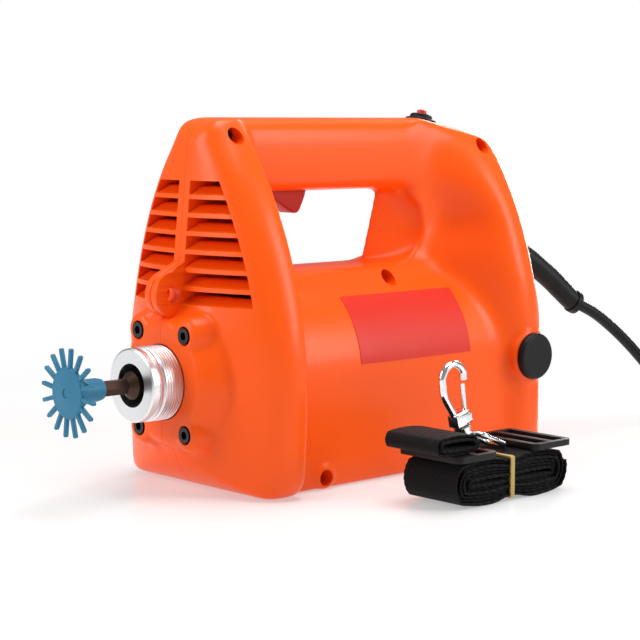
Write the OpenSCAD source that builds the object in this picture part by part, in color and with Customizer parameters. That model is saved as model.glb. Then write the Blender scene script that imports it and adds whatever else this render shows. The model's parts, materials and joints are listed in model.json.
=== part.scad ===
// Electric drive unit of a concrete vibrator, with its carrying strap taken off and laid beside it.
// The nose points along -Y, the rating plate faces +X and the floor is z = 0.

/* [Casing] */
// Length from the front face to the rear wall
body_len = 296; // [280:1:360]
// Height of the grip's top over the floor
body_h = 240; // [220:1:300]
// Width of the front section
front_w = 164; // [150:1:190]
// Depth of the front section, from its face to the step behind it
front_depth = 47; // [46:1:66]
// Width of the motor barrel
barrel_w = 126; // [120:1:148]
// Height of the barrel's deck under the grip
deck_z = 140; // [134:1:160]
// Width of the rear section
rear_w = 146; // [136:1:170]
// Thickness of the moulded wall
wall = 3.2; // [2.4:0.1:4.2]

/* [Grip] */
// Width of the grip
grip_w = 43; // [38:1:52]
// Height of the grip's section
grip_h = 49; // [44:1:58]
// Length of the hand opening at the grip's underside
opening_len = 150; // [130:1:156]
// Width of the trigger
trigger_w = 16; // [12:0.5:19]
// Diameter of the trigger's pivot pin
trigger_pin_d = 4; // [3:0.1:4.8]

/* [Nose] */
// Height of the motor's axis over the floor
axis_z = 72; // [66:1:80]
// Outside diameter of the nose thread
nose_d = 48; // [40:0.5:50]
// How far the nose stands out of its pad
nose_len = 24; // [20:1:32]
// Bore of the nose
nose_bore_d = 28; // [25:0.5:32]
// Height of the raised pad around the nose
pad_t = 10; // [9:0.5:13]
// Distance between the flange screws across the pad
flange_dx = 48; // [46:0.5:54]
// Distance between the flange screws up the pad
flange_dz = 63; // [60:0.5:70]
// Diameter across the push-on star
star_d = 56; // [46:1:68]
// Number of spokes on the star
star_spokes = 16; // [12:1:20]
// Width across the flats of the drive hexagon
hex_af = 9; // [7:0.1:10.5]

/* [Motor] */
// Outside diameter of the stator
stator_d = 100; // [86:1:106]
// Length of the stator's core
stator_len = 95; // [78:1:104]
// Diameter of the armature's core
armature_d = 54; // [46:0.5:60]
// Gap between the armature and the stator's poles
air_gap = 0.8; // [0.5:0.1:1.2]
// Diameter of the commutator
commutator_d = 38; // [32:0.5:44]
// Diameter of the fan
fan_d = 98; // [80:1:108]
// Bore of the front bearing
front_bearing_bore = 17; // [15:0.5:20]
// Outside diameter of the front bearing
front_bearing_d = 40; // [36:0.5:44]
// Bore of the rear bearing
rear_bearing_bore = 10; // [8:0.5:12]
// Outside diameter of the rear bearing
rear_bearing_d = 30; // [26:0.5:36]
// Diameter of a brush cover
brush_cover_d = 33; // [28:0.5:38]

/* [Fits] */
// Radial gap of a shaft or pin that turns
running = 0.05; // [0.02:0.01:0.1]
// Gap round a piece that drops into a pocket
slip = 0.2; // [0.1:0.05:0.4]
// Gap round a piece that moves through an opening
clear = 0.5; // [0.3:0.05:0.8]

/* [Cable] */
// Diameter of the cable
cable_d = 8.5; // [7:0.1:9]
// Turns in each layer of the stored coil
coil_turns = 3; // [2:1:4]
// Diameter of a plug pin
plug_pin_d = 4.8; // [4:0.1:5]

/* [Strap] */
// Width of the webbing
web_w = 45; // [36:1:50]
// Thickness of the webbing
web_t = 1.3; // [1:0.05:1.4]
// Turns in the wound webbing
web_turns = 5; // [3:1:6]
// Diameter of the snap hook's wire
hook_wire = 5; // [4:0.1:6]

/* [Hidden] */
$fn = 48;

// Main stations along the machine
front_y = -body_len / 2;
rear_y = body_len / 2;
step_y = front_y + front_depth;
post_y = step_y + opening_len;
post_lean = 16;
post_foot = post_y - post_lean;
flare_y = rear_y - 34;
drop_y = max(rear_y - 88, post_y + 11);
rear_drop = 11;
grip_z = body_h - grip_h;
grip_r = 12;

// Rounding of the front and rear sections
front_shoulder = 60;
front_top_half = 16;
rear_shoulder = 85;
rear_top_half = 20;
sole_corner = 10;
front_bow = 150;
front_corner = 22;
rear_bow = 150;
rear_corner = 22;
sole_r = 30;
heel_r = 20;
lean_z = 100;
front_lean = 12;
rear_lean = 20;
front_crown = 20;
rear_crown = 22;
deck_half = 30;
deck_r = 8;
barrel_rise = 66;

// Nose flange, its pad and the bearing behind it
pad_y = front_y - pad_t;
pad_wall = 8;
pad_rim = 3.7;
pad_r = 14;
plate_y = pad_y + pad_wall;
plate_t = 9;
plate_edge = 8.5;
plate_w = flange_dx + 2 * plate_edge;
plate_h = flange_dz + 2 * plate_edge;
nose_y = pad_y - nose_len;
front_bearing_len = 12;
front_bearing_y = plate_y + 7;
cup_wall = 7;
flange_screw_r = 3;
flange_head_r = 5;
flange_head_h = 6;
flange_sink = 5;
flange_screw_len = 10;

// Strap lug
lug_t = 12;
lug_r = 14;
eye_r = 5.5;
lug_eye = [front_y - 4, axis_z + 56];
lug_root_z = lug_eye[1] + 23;
lug_root_y = front_y + front_lean;

// Drive end
spindle_collar_r = 9.2;
spindle_root_y = nose_y + 22;
spindle_tenon_r = 5;
spindle_tenon_len = 12;
star_y = nose_y - 47;
star_t = 3;
star_disc_r = 16;
spoke_w = 2.7;
hub_r = 7.5;
hub_len = 24;
hub_nose = 5;
hex_tip_y = star_y - 1;
shaft_r = front_bearing_bore / 2 + 0.8;
seal_len = 6;

// Motor stations
brush_y = rear_y - 32;
commutator_len = 26;
commutator_y = brush_y - commutator_len / 2;
stator_y1 = brush_y - 51;
stator_y0 = stator_y1 - stator_len;
end_turn = 20;
fan_len = 22;
fan_y = stator_y0 - 56;
baffle_y = stator_y0 - 26;
baffle_t = 2.5;
baffle_r = stator_d / 2 + 3;
rib_t = 6;
rear_bearing_len = 9;
rear_bearing_y = rear_y - 15;
cup_t = 2.5;
cup_floor = 1.2;
bulkhead_y = rear_bearing_y - 2;
bulkhead_half = rear_bearing_d / 2 + cup_t + 14;
commutator_shaft_r = rear_bearing_bore / 2 + 2;

// Brush gear
brush_boss_r = brush_cover_d / 2 + 1.5;
brush_face_x = rear_w / 2;
brush_seat_x = 40;
holder_r = 10;
holder_x0 = commutator_d / 2 + 3.5;
holder_x1 = brush_face_x - 11;
brush_w = 8;
brush_h = 12;
brush_len = 20;
cover_t = 5;
cover_plug_len = 8;

// Casing screws, as stations of the row from the front to the rear
screw_spots = [[front_y + 32, body_h - 12], [rear_y - 44, body_h - 20], [step_y + 114, deck_z - 9],
    [step_y + 27, 8], [rear_y - 44, 8]];
screw_boss_r = 6.5;
sole_boss_r = 7.6;
screw_seat_x = 12;
screw_head_r = 4.6;
screw_head_h = 3.2;
screw_r = 2;
screw_len = 32;
sink_r = 5.5;

// Front and rear louvres
vent_rows = 7;
vent_pitch = 11.6;
vent_h = 7;
vent_z0 = axis_z + 51;
vent_rib = 5.5;
vent_margin = 22;
rear_vent_z = [axis_z - 55, axis_z - 45, axis_z + 42, axis_z + 52];
rear_vent_x = [13, 46];

// Rating plate
rating_y0 = step_y + 59;
rating_len = 104;
rating_z = [axis_z + 7, axis_z + 50];
rating_t = 0.5;

// Trigger and switch
pivot = [step_y + 13, grip_z + 11];
trigger_arc = 9;
switch_half = 10;
switch_y0 = step_y + 23;
switch_len = 36;
switch_z = grip_z + 22;
switch_h = 22;
plunger_r = 3;
plunger_y = pivot[0] + 26;
plunger_z = grip_z + 13.9;
plunger_len = 11.5;
shelf_t = 3;
pin_boss_r = trigger_pin_d / 2 + 3;

// Overload breaker, on its own tilted seat
breaker_y = rear_y - 73;
crown_end = [rear_y - rear_lean - rear_crown + rear_crown * cos(82),
    body_h - rear_drop - rear_crown + rear_crown * sin(82)];
breaker_tilt = atan2(body_h - crown_end[1], crown_end[0] - drop_y);
breaker_z = body_h - (breaker_y - drop_y) * tan(breaker_tilt) + 0.4;
breaker_seat = 4;
breaker_r = 8;
breaker_len = 26;
neck_r = 5.5;
neck_len = 4.6;
nut_r = 10.3;
nut_h = 5.2;
button_r = 3.5;
button_top = 8.5;
button_depth = 3.5;

// Cable entry, boot and lead; the points are chosen by hand
entry_z = 152;
boot_points = [[0, rear_y - 14, 152], [0, rear_y - 11, 152], [0, rear_y - 10.8, 152], [0, rear_y - 2, 152],
    [1, 154, 150], [3, 166, 145], [6, 178, 137.5], [10, 190, 128.5], [14, 202, 118.5], [17.5, 211, 109.5],
    [20.6, 219.5, 101.2], [20.7, 219.8, 101], [22, 225, 98.3]];
boot_radii = [12, 12, 9, 9, 9, 8.8, 8.6, 8.4, 8.1, 7.8, 7.6, 8.6, 8.6];
lead_points = [[22, 225, 98.3], [26, 241, 90], [29, 257, 79], [32, 273, 66], [34, 289, 52], [36, 304, 38],
    [38, 319, 25.5], [39, 333, 15.5], [40, 347, 9], [40, 361, 6.2], [40, 366, 5.75]];
inner_r = 3.5;
clamp_y = rear_y - 27;
inner_points = [[0, rear_y - 14, entry_z], [0, rear_y - 20, entry_z], [0, rear_y - 38, entry_z],
    [0, rear_y - 50, entry_z + 10], [0, rear_y - 64, grip_z - 9], [0, rear_y - 80, grip_z + 4],
    [0, rear_y - 95, grip_z + 9], [0, post_y, grip_z + 9], [0, switch_y0 + switch_len + 38, grip_z + 9],
    [0, switch_y0 + switch_len + 22, grip_z + 17], [0, switch_y0 + switch_len + 9, grip_z + 31],
    [0, switch_y0 + switch_len, grip_z + 31]];
clamp_w = 34;
clamp_len = 8;
clamp_h = 6;
clamp_screw_x = 11;
clamp_screw_r = 1.7;

// Stored coil
coil_at = [105, 375];
coil_pitch = cable_d + 0.7;
coil_layer = cable_d + 0.6;
coil_out = 65;
tie_t = 1.2;
tie_w = 14;
coil_z = tie_t + 0.3 + cable_d / 2;
plug_r = 18;
plug_z = plug_r;
coil_steps = 24;
coil_end = 2 * coil_turns + 0.5;
plug_x = coil_at[0] + coil_out;
plug_y1 = coil_at[1] - cable_d;
plug_len = 46;
plug_pin_len = 19;
plug_pitch = 19;

// Strap, as it lies beside the machine
strap_x = 142;
strap_y = -8;
hank_half = 36;
hank_core = 4;
hank_step = 2.5;
waist = 0.28;
waist_len = 14;
band_t = 1.2;
band_w = 3.5;
slide_t = 4;
slide_w = web_w + 9;
slide_len = 36;
slide_bar = 5;
front_slide_y = strap_y - 34;
rear_slide_y = strap_y + 36;
tail_half = 12;
tail_core = 2;
tail_turns = 2;
tail_y = strap_y - 48;

// Snap hook, in its own plane
hook_x = strap_x - 2;
hook_y = strap_y - 18;
hook_lift = 10.8;
hook_tilt = 17;
eye_slope = 23;
eye_len = 34;
eye_w = 22;
stem_r = 2.5;
barrel_len = 7;
barrel_r = 5.5;
block_h = 10;
block_w = 15;
hook_rise = 30;
gate_arc = 25;
gate_w = 3.4;
gate_pin_r = 1.1;
gate_foot = [4.6, barrel_len + block_h - 3.5];

// Points of an arc round c, from angle a0 to a1
function arc(c, r, a0, a1, n) =
    [for (k = [0:n]) c + r * [cos(a0 + (a1 - a0) * k / n), sin(a0 + (a1 - a0) * k / n)]];
function reversed(p) = [for (k = [len(p) - 1:-1:0]) p[k]];
function mirrored(p) = [for (q = reversed(p)) if (q[0] > 0) [-q[0], q[1]]];
function unit(v) = v / norm(v);
function ease(s) = s * s * (3 - 2 * s);
function limited(v, low, high) = min(high, max(low, v));

// Radius of the arc that carries a bell's side from its shoulder to its top
function bell_r(half, top_half, shoulder) =
    (pow(body_h - shoulder, 2) + pow(half - top_half, 2)) / (2 * (half - top_half));
// Half width of a bell at height z
function bell_half(half, top_half, shoulder, z) =
    let (r = bell_r(half, top_half, shoulder)) half - r + sqrt(r * r - pow(max(0, z - shoulder), 2));
// Right side of a bell outline, moved in by inset
function bell(half, top_half, shoulder, inset) =
    let (r = bell_r(half, top_half, shoulder), a = asin((body_h - shoulder - inset) / (r - inset)))
    concat(arc([half - sole_corner, sole_corner], sole_corner - inset, -90, 0, 4),
        arc([half - r, shoulder], r - inset, 0, a, 10));
// Right side of a bowed end in plan, from its middle to its side
function bowed_end(half, bow, corner, end_y, way, inset) =
    let (cy = end_y - way * bow, cx = half - corner, ky = cy + way * sqrt(pow(bow - corner, 2) - cx * cx),
        a = atan2(ky - cy, cx))
    concat(arc([0, cy], bow - inset, way * 90, a, 6), arc([cx, ky], corner - inset, a, 0, 6));
// Right side of the barrel's section
function barrel_side(inset) =
    concat([[barrel_w / 2 - inset, inset]],
        [for (t = [0:6:60]) [(barrel_w / 2 - inset) * cos(t), axis_z + (barrel_rise - inset) * sin(t)]],
        arc([deck_half - deck_r, deck_z - deck_r], deck_r - inset, 0, 90, 4));

// Rings of a tube swept along p, as points and triangles
function headings(p) = [for (k = [0:len(p) - 1]) unit(p[min(k + 1, len(p) - 1)] - p[max(k - 1, 0)])];
function carried(t, n, k = 0) =
    k == len(t) ? [] : let (m = unit(n - (n * t[k]) * t[k])) concat([m], carried(t, m, k + 1));
function ring_points(p, r, sides, side_way) =
    let (t = headings(p), n = carried(t, side_way))
    [for (k = [0:len(p) - 1]) for (j = [0:sides - 1])
        p[k] + r[k] * (cos(360 * j / sides) * n[k] + sin(360 * j / sides) * cross(t[k], n[k]))];
function ring_faces(rings, sides) =
    concat([for (k = [0:rings - 2]) for (j = [0:sides - 1]) for (half = [0, 1])
        let (a = k * sides + j, b = k * sides + (j + 1) % sides)
        half == 0 ? [a, a + sides, b] : [b, a + sides, b + sides]],
        [for (j = [1:sides - 2]) [0, j, j + 1]],
        [for (j = [1:sides - 2]) let (e = (rings - 1) * sides) [e, e + j + 1, e + j]]);
// Least gap of a tube to its own other turns, measured on its centre points
function least_gap(p, d, apart) =
    min([for (i = [0:len(p) - 1]) for (j = [i + apart:1:len(p) - 1]) norm(p[i] - p[j])]) - d;

// The coil's centre line, by turns from its start
function coil_radius(u) = coil_out - coil_pitch * min(u, coil_end - u);
function coil_height(u) =
    coil_z + coil_layer * ease(limited((u - coil_turns) * 2, 0, 1))
    + (plug_z - coil_z - coil_layer) * ease(limited((u - coil_end + 0.25) * 4, 0, 1));
coil_points = concat([[coil_at[0] - coil_out, coil_at[1] - cable_d, coil_z]],
    [for (k = [0:coil_end * coil_steps]) let (u = k / coil_steps, a = 180 - 360 * u)
        [coil_at[0] + coil_radius(u) * cos(a), coil_at[1] + coil_radius(u) * sin(a), coil_height(u)]],
    [[plug_x, plug_y1, plug_z]]);
echo("least gap in the coil", least_gap(coil_points, cable_d, 12));

// The webbing's centre line in its own plane, by angle
function wound(half, core, pull, a) =
    let (r = core + hank_step * a / 360, u = half * limited(1.5 * cos(a), -1, 1) + r * cos(a))
    [u, r * sin(a) * (1 - pull * exp(-pow(u / waist_len, 2)))];
function wound_line(half, core, pull, turns) = [for (k = [0:turns * 24]) wound(half, core, pull, k * 15)];
function wound_outline(line) =
    let (n = len(line) - 1,
        way = [for (k = [0:n]) unit(line[min(k + 1, n)] - line[max(k - 1, 0)])],
        side = [for (w = way) web_t / 2 * [-w[1], w[0]]])
    concat([for (k = [0:n]) line[k] + side[k]], [for (k = [n:-1:0]) line[k] - side[k]]);
hank_outline = wound_outline(wound_line(hank_half, hank_core, waist, web_turns));
hank_z = -min([for (p = hank_outline) p[1]]);
hank_top = hank_z + max([for (p = hank_outline) p[1]]);
band_low = hank_z + min([for (p = hank_outline) if (abs(p[0]) < waist_len / 2) p[1]]) - 0.5;
band_high = hank_z + max([for (p = hank_outline) if (abs(p[0]) < waist_len / 2) p[1]]) + 0.5;
slide_z = hank_top + 0.3;
tail_outline = wound_outline(wound_line(tail_half, tail_core, 0, tail_turns));
tail_z = slide_z + slide_t + 0.3 - min([for (p = tail_outline) p[1]]);
hook_at = [hook_x, hook_y, hank_top + hook_lift];
echo("hank height, band and hook", hank_z, hank_top, band_low, band_high, slide_z, tail_z, hook_at);
echo("least gap in the hank", least_gap(wound_line(hank_half, hank_core, waist, web_turns), web_t, 20));
echo("least gap in the tail", least_gap(wound_line(tail_half, tail_core, 0, tail_turns), web_t, 20));

// Shared shapes
module along_y(y0, y1) { translate([0, y1, 0]) rotate([90, 0, 0]) linear_extrude(y1 - y0) children(); }
module along_x(x0, x1) { translate([x0, 0, 0]) rotate([90, 0, 90]) linear_extrude(x1 - x0) children(); }
module round_y(r, y0, y1) { translate([0, y1, axis_z]) rotate([90, 0, 0]) cylinder(r = r, h = y1 - y0); }
module round_x(r, x0, x1, y, z) { translate([x0, y, z]) rotate([0, 90, 0]) cylinder(r = r, h = x1 - x0); }
module both_sides(side) { polygon(concat(side, mirrored(side))); }
module turned_y(profile) {
    translate([0, 0, axis_z]) rotate([-90, 0, 0]) rotate_extrude() polygon(profile);
}
module rounded_box(x0, y0, x1, y1, r) {
    polygon(concat(arc([x1 - r, y0 + r], r, -90, 0, 5), arc([x1 - r, y1 - r], r, 0, 90, 5),
        arc([x0 + r, y1 - r], r, 90, 180, 5), arc([x0 + r, y0 + r], r, 180, 270, 5)));
}
module box(low, high) { translate(low) cube(high - low); }
module tube(p, r, sides, side_way) {
    polyhedron(points = ring_points(p, r, sides, side_way), faces = ring_faces(len(p), sides));
}

// Casing shapes, moved in by inset for the hollow
module front_section(inset) {
    side = concat(bowed_end(front_w / 2, front_bow, front_corner, front_y, -1, inset),
        [[front_w / 2 - inset, step_y - inset]]);
    intersection() {
        along_y(front_y - 1, step_y - inset) both_sides(bell(front_w / 2, front_top_half, front_shoulder, inset));
        linear_extrude(body_h) both_sides(side);
        along_x(-front_w, front_w) polygon(concat([[step_y - inset, inset]],
            arc([front_y + sole_r, sole_r], sole_r - inset, 270, 180, 6), [[front_y + inset, lean_z]],
            arc([front_y + front_lean + front_crown, body_h - front_crown], front_crown - inset, 180, 90, 5),
            [[step_y - inset, body_h - inset]]));
    }
}

module barrel(inset) { along_y(step_y - 20, flare_y) both_sides(barrel_side(inset)); }

module grip(inset) {
    along_y(step_y - 20, drop_y)
        rounded_box(-grip_w / 2 + inset, grip_z + inset, grip_w / 2 - inset, body_h - inset, grip_r - inset);
}

module rear_section(inset) {
    flare = [for (k = [0:8]) [grip_w / 2 + (rear_w - grip_w) / 2 * ease(k / 8) - inset,
        post_y + (flare_y - post_y) * k / 8]];
    side = concat([[grip_w / 2 - inset, post_foot + inset]], flare,
        reversed(bowed_end(rear_w / 2, rear_bow, rear_corner, rear_y, 1, inset)));
    intersection() {
        along_y(post_foot, rear_y + 1) both_sides(bell(rear_w / 2, rear_top_half, rear_shoulder, inset));
        linear_extrude(body_h) both_sides(side);
        along_x(-rear_w, rear_w) polygon(concat([[post_foot + inset, inset]],
            arc([rear_y - heel_r, heel_r], heel_r - inset, 270, 360, 5), [[rear_y - inset, lean_z]],
            arc([rear_y - rear_lean - rear_crown, body_h - rear_drop - rear_crown], rear_crown - inset, 0, 82, 5),
            [[drop_y, body_h - inset], [post_y + inset, body_h - inset], [post_y + inset, grip_z],
                [post_foot + inset, deck_z]]));
    }
}

module casing_form(inset) {
    front_section(inset);
    barrel(inset);
    grip(inset);
    rear_section(inset);
}

module at_breaker() { translate([0, breaker_y, breaker_z]) rotate([-breaker_tilt, 0, 0]) children(); }

// What stands inside the hollow: bosses, seats and ribs
module casing_ribs() {
    for (s = screw_spots) round_x(screw_boss_r, -front_w, front_w, s[0], s[1]);
    for (y = [stator_y0 + 2, stator_y1 - rib_t - 2]) difference() {
        box([-barrel_w / 2, y, 0], [barrel_w / 2, y + rib_t, deck_z - 12]);
        round_y(stator_d / 2 + slip, y - 1, y + rib_t + 1);
    }
    difference() {
        box([-barrel_w / 2, baffle_y, 0], [barrel_w / 2, baffle_y + rib_t, deck_z - 12]);
        round_y(baffle_r - 3, baffle_y - 1, baffle_y + rib_t + 1);
        round_y(baffle_r + slip, baffle_y - 1, baffle_y + baffle_t);
    }
    difference() {
        box([-bulkhead_half, bulkhead_y, axis_z - bulkhead_half], [bulkhead_half, rear_y, axis_z + bulkhead_half]);
        round_y(rear_bearing_d / 2 + cup_t + running, bulkhead_y - 1, rear_bearing_y + rear_bearing_len + cup_floor);
    }
    for (s = [-1, 1]) round_x(brush_boss_r, s > 0 ? brush_seat_x : -rear_w, s > 0 ? rear_w : -brush_seat_x,
        brush_y, axis_z);
    for (s = [-1, 1]) for (y = [switch_y0 + 5, switch_y0 + switch_len - 9])
        box([s > 0 ? trigger_w / 2 + clear : -grip_w / 2, y, switch_z - shelf_t],
            [s > 0 ? grip_w / 2 : -trigger_w / 2 - clear, y + 4, body_h]);
    for (s = [-1, 1]) round_x(pin_boss_r, s > 0 ? trigger_w / 2 + clear : -grip_w / 2,
        s > 0 ? grip_w / 2 : -trigger_w / 2 - clear, pivot[0], pivot[1]);
    at_breaker() translate([0, 0, -breaker_seat]) cylinder(r = nut_r + 1.2, h = breaker_seat + 10);
    box([-clamp_w / 2, clamp_y - 2, entry_z - 40], [clamp_w / 2, clamp_y + clamp_len + 2, entry_z - inner_r]);
    box([-clamp_w / 2, clamp_y - 2, entry_z - 40], [clamp_w / 2, rear_y, entry_z - 24]);
}

module switch_block(gap) {
    box([-switch_half - gap, switch_y0 - gap, switch_z - gap],
        [switch_half + gap, switch_y0 + switch_len + gap, switch_z + switch_h + gap]);
}

// Openings cut through the walls and the ribs
module casing_cuts() {
    round_y(nose_d / 2 + clear, pad_y - 1, plate_y + 1);
    along_y(plate_y, front_y + 26)
        rounded_box(-plate_w / 2 - slip, axis_z - plate_h / 2 - slip, plate_w / 2 + slip,
            axis_z + plate_h / 2 + slip, plate_edge + slip);
    for (x = [-1, 1]) for (z = [-1, 1]) translate([x * flange_dx / 2, 0, z * flange_dz / 2]) {
        round_y(flange_screw_r + 0.3, pad_y - 1, plate_y + 1);
        round_y(flange_head_r + 1, pad_y - 1, pad_y + flange_sink);
    }
    for (k = [0:vent_rows - 1]) let (z = vent_z0 + k * vent_pitch,
        out = bell_half(front_w / 2, front_top_half, front_shoulder, z) - vent_margin)
        for (s = [0, 1]) mirror([s, 0, 0])
            box([vent_rib, front_y - 1, z - vent_h / 2], [out, front_y + 36, z + vent_h / 2]);
    for (z = rear_vent_z) for (s = [0, 1]) mirror([s, 0, 0])
        box([rear_vent_x[0], rear_y - 26, z - vent_h / 2], [rear_vent_x[1], rear_y + 1, z + vent_h / 2]);
    for (s = screw_spots) {
        round_x(sink_r, screw_seat_x, front_w, s[0], s[1]);
        round_x(screw_r + 0.6, -0.5, screw_seat_x + 1, s[0], s[1]);
        round_x(screw_r + running, screw_seat_x - screw_len - 1, 0, s[0], s[1]);
    }
    for (s = [0, 1]) mirror([s, 0, 0]) round_x(holder_r + running, brush_seat_x - 1, rear_w, brush_y, axis_z);
    box([-trigger_w / 2 - clear, pivot[0] - pin_boss_r - 1, grip_z - 1],
        [trigger_w / 2 + clear, switch_y0 + switch_len + 5, grip_z + wall + 1]);
    round_x(trigger_pin_d / 2 + running, -grip_w / 2 + wall, grip_w / 2 - wall, pivot[0], pivot[1]);
    switch_block(slip);
    at_breaker() {
        translate([0, 0, -breaker_seat - 1]) cylinder(r = neck_r + 0.1, h = 20);
        translate([0, 0, 0]) cylinder(r = nut_r + 1.2, h = 20);
    }
    translate([0, 0, entry_z - axis_z]) round_y(boot_radii[2] + 0.4, rear_y - 12, rear_y + 5);
    translate([0, 0, entry_z - axis_z]) round_y(boot_radii[0] + 0.4, rear_y - 32, rear_y - 10.3);
    for (x = [-1, 1]) translate([x * clamp_screw_x, clamp_y + clamp_len / 2, entry_z - inner_r - 12])
        cylinder(r = clamp_screw_r + running, h = 14);
}

// One half of the casing: way is 1 for the plate side and -1 for the other
module shell(way) {
    difference() {
        intersection() {
            box([way > 0 ? 0 : -front_w, nose_y, -1], [way > 0 ? front_w : 0, rear_y + 9, body_h + 9]);
            union() {
                casing_form(0);
                along_y(pad_y, front_y + 22)
                    rounded_box(-plate_w / 2 - pad_rim, axis_z - plate_h / 2 - pad_rim, plate_w / 2 + pad_rim,
                        axis_z + plate_h / 2 + pad_rim, pad_r);
                round_x(brush_boss_r, -brush_face_x, brush_face_x, brush_y, axis_z);
                for (k = [3, 4]) round_x(sole_boss_r, -barrel_w / 2 - 1, barrel_w / 2 + 1,
                    screw_spots[k][0], screw_spots[k][1]);
                at_breaker() translate([0, 0, -breaker_seat]) cylinder(r = nut_r + 1.2, h = breaker_seat);
            }
        }
        difference() {
            casing_form(wall);
            casing_ribs();
        }
        casing_cuts();
    }
}

// One half of the strap lug, standing on the front face
module lug(way) {
    away = [lug_root_y, lug_root_z] - lug_eye;
    top_angle = atan2(away[1], away[0]) + acos(lug_r / norm(away));
    difference() {
        along_x(way > 0 ? 0 : -lug_t / 2, way > 0 ? lug_t / 2 : 0)
            polygon(concat(arc(lug_eye, lug_r, top_angle, 270, 12),
                [[lug_root_y, lug_eye[1] - lug_r], [lug_root_y, lug_root_z]]));
        round_x(eye_r, -lug_t, lug_t, lug_eye[0], lug_eye[1]);
        front_section(0);
        along_y(pad_y, front_y + 22)
            rounded_box(-plate_w / 2 - pad_rim, axis_z - plate_h / 2 - pad_rim, plate_w / 2 + pad_rim,
                axis_z + plate_h / 2 + pad_rim, pad_r);
    }
}

module left_shell() { color("#ff6428") shell(1); }
module right_shell() { color("#ff6428") shell(-1); }
module left_lug() { color("#ff6428") lug(1); }
module right_lug() { color("#ff6428") lug(-1); }

module case_screws() {
    color("#2c2c2e") for (s = screw_spots) difference() {
        union() {
            round_x(screw_r, screw_seat_x - screw_len, screw_seat_x + 0.1, s[0], s[1]);
            round_x(screw_head_r, screw_seat_x, screw_seat_x + screw_head_h, s[0], s[1]);
        }
        for (turn = [0, 90]) translate([screw_seat_x + screw_head_h, s[0], s[1]]) rotate([turn, 0, 0])
            box([-2, -2.4, -0.5], [1, 2.4, 0.5]);
    }
}

module rating_plate() {
    color("#e23a2b") intersection() {
        along_y(rating_y0, rating_y0 + rating_len) difference() {
            both_sides(barrel_side(-rating_t));
            both_sides(barrel_side(0));
        }
        difference() {
            box([1, rating_y0 - 1, rating_z[0]], [barrel_w, rating_y0 + rating_len + 1, rating_z[1]]);
            rear_section(0);
        }
    }
}

module nose_flange() {
    bore = nose_bore_d / 2;
    seat = front_bearing_d / 2;
    chamfer = 1.6;
    back = front_bearing_y + front_bearing_len;
    color("#c9ccd0") difference() {
        union() {
            turned_y([[bore, nose_y], [nose_d / 2 - chamfer, nose_y], [nose_d / 2, nose_y + chamfer],
                [nose_d / 2, pad_y - 0.6], [nose_d / 2 - 0.5, pad_y - 0.6], [nose_d / 2 - 0.5, plate_y + 1],
                [seat + cup_wall, plate_y + 1], [seat + cup_wall, back], [bore, back]]);
            along_y(plate_y, plate_y + plate_t)
                rounded_box(-plate_w / 2, axis_z - plate_h / 2, plate_w / 2, axis_z + plate_h / 2, plate_edge);
        }
        round_y(bore, nose_y - 1, back + 1);
        round_y(seat, front_bearing_y, back + 1);
        for (x = [-1, 1]) for (z = [-1, 1]) translate([x * flange_dx / 2, 0, z * flange_dz / 2])
            round_y(flange_screw_r + running, plate_y - 1, plate_y + plate_t + 1);
    }
}

module flange_screws() {
    seat_y = pad_y + flange_sink;
    color("#26262a") for (x = [-1, 1]) for (z = [-1, 1])
        translate([x * flange_dx / 2, 0, z * flange_dz / 2]) difference() {
            union() {
                round_y(flange_head_r, seat_y - flange_head_h, seat_y);
                round_y(flange_screw_r, seat_y - 1, seat_y + flange_screw_len);
            }
            translate([0, seat_y - flange_head_h + 3, axis_z]) rotate([90, 0, 0]) cylinder(r = 2.9, h = 4, $fn = 6);
        }
}

module shaft_seal() {
    y = front_bearing_y - seal_len;
    color("#202022") turned_y([[front_bearing_bore / 2 + 0.3, y], [nose_bore_d / 2, y],
        [nose_bore_d / 2, y + seal_len], [front_bearing_bore / 2 + 0.3, y + seal_len]]);
}

// A ball bearing as one ring, with shield recesses
module bearing(bore, d, y, len) {
    mid = (bore + d) / 4;
    turned_y([[bore / 2, y], [mid - 2.5, y], [mid - 2.5, y + 0.6], [mid + 2.5, y + 0.6], [mid + 2.5, y],
        [d / 2, y], [d / 2, y + len], [mid + 2.5, y + len], [mid + 2.5, y + len - 0.6],
        [mid - 2.5, y + len - 0.6], [mid - 2.5, y + len], [bore / 2, y + len]]);
}

module front_bearing() {
    color("#a8abb0") bearing(front_bearing_bore, front_bearing_d, front_bearing_y, front_bearing_len);
}

module drive_spindle() {
    color("#3a2a24") difference() {
        union() {
            translate([0, nose_y, axis_z]) rotate([90, 0, 0])
                cylinder(r = hex_af / sqrt(3), h = nose_y - hex_tip_y, $fn = 6);
            turned_y([[0, nose_y - 5], [hex_af / 2, nose_y - 5], [spindle_collar_r, nose_y],
                [spindle_collar_r, spindle_root_y], [0, spindle_root_y]]);
        }
        round_y(spindle_tenon_r + running, spindle_root_y - spindle_tenon_len, spindle_root_y + 1);
    }
}

module drive_star() {
    color("#4a94b4") difference() {
        union() {
            round_y(star_disc_r, star_y - star_t / 2, star_y + star_t / 2);
            turned_y([[0, star_y - star_t / 2 - 1], [hub_r - 1.5, star_y - star_t / 2 - 1], [hub_r, star_y],
                [hub_r, star_y + hub_len - hub_nose], [hub_r - 2, star_y + hub_len], [0, star_y + hub_len]]);
            for (k = [0:star_spokes - 1]) translate([0, star_y, axis_z])
                rotate([0, 7.6 + 360 * k / star_spokes, 0])
                    box([-spoke_w / 2, -star_t / 2, star_disc_r - 2], [spoke_w / 2, star_t / 2, star_d / 2]);
        }
        translate([0, star_y + hub_len + 1, axis_z]) rotate([90, 0, 0])
            cylinder(r = (hex_af + 0.2) / sqrt(3), h = star_y + hub_len + 1 - hex_tip_y, $fn = 6);
    }
}

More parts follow.
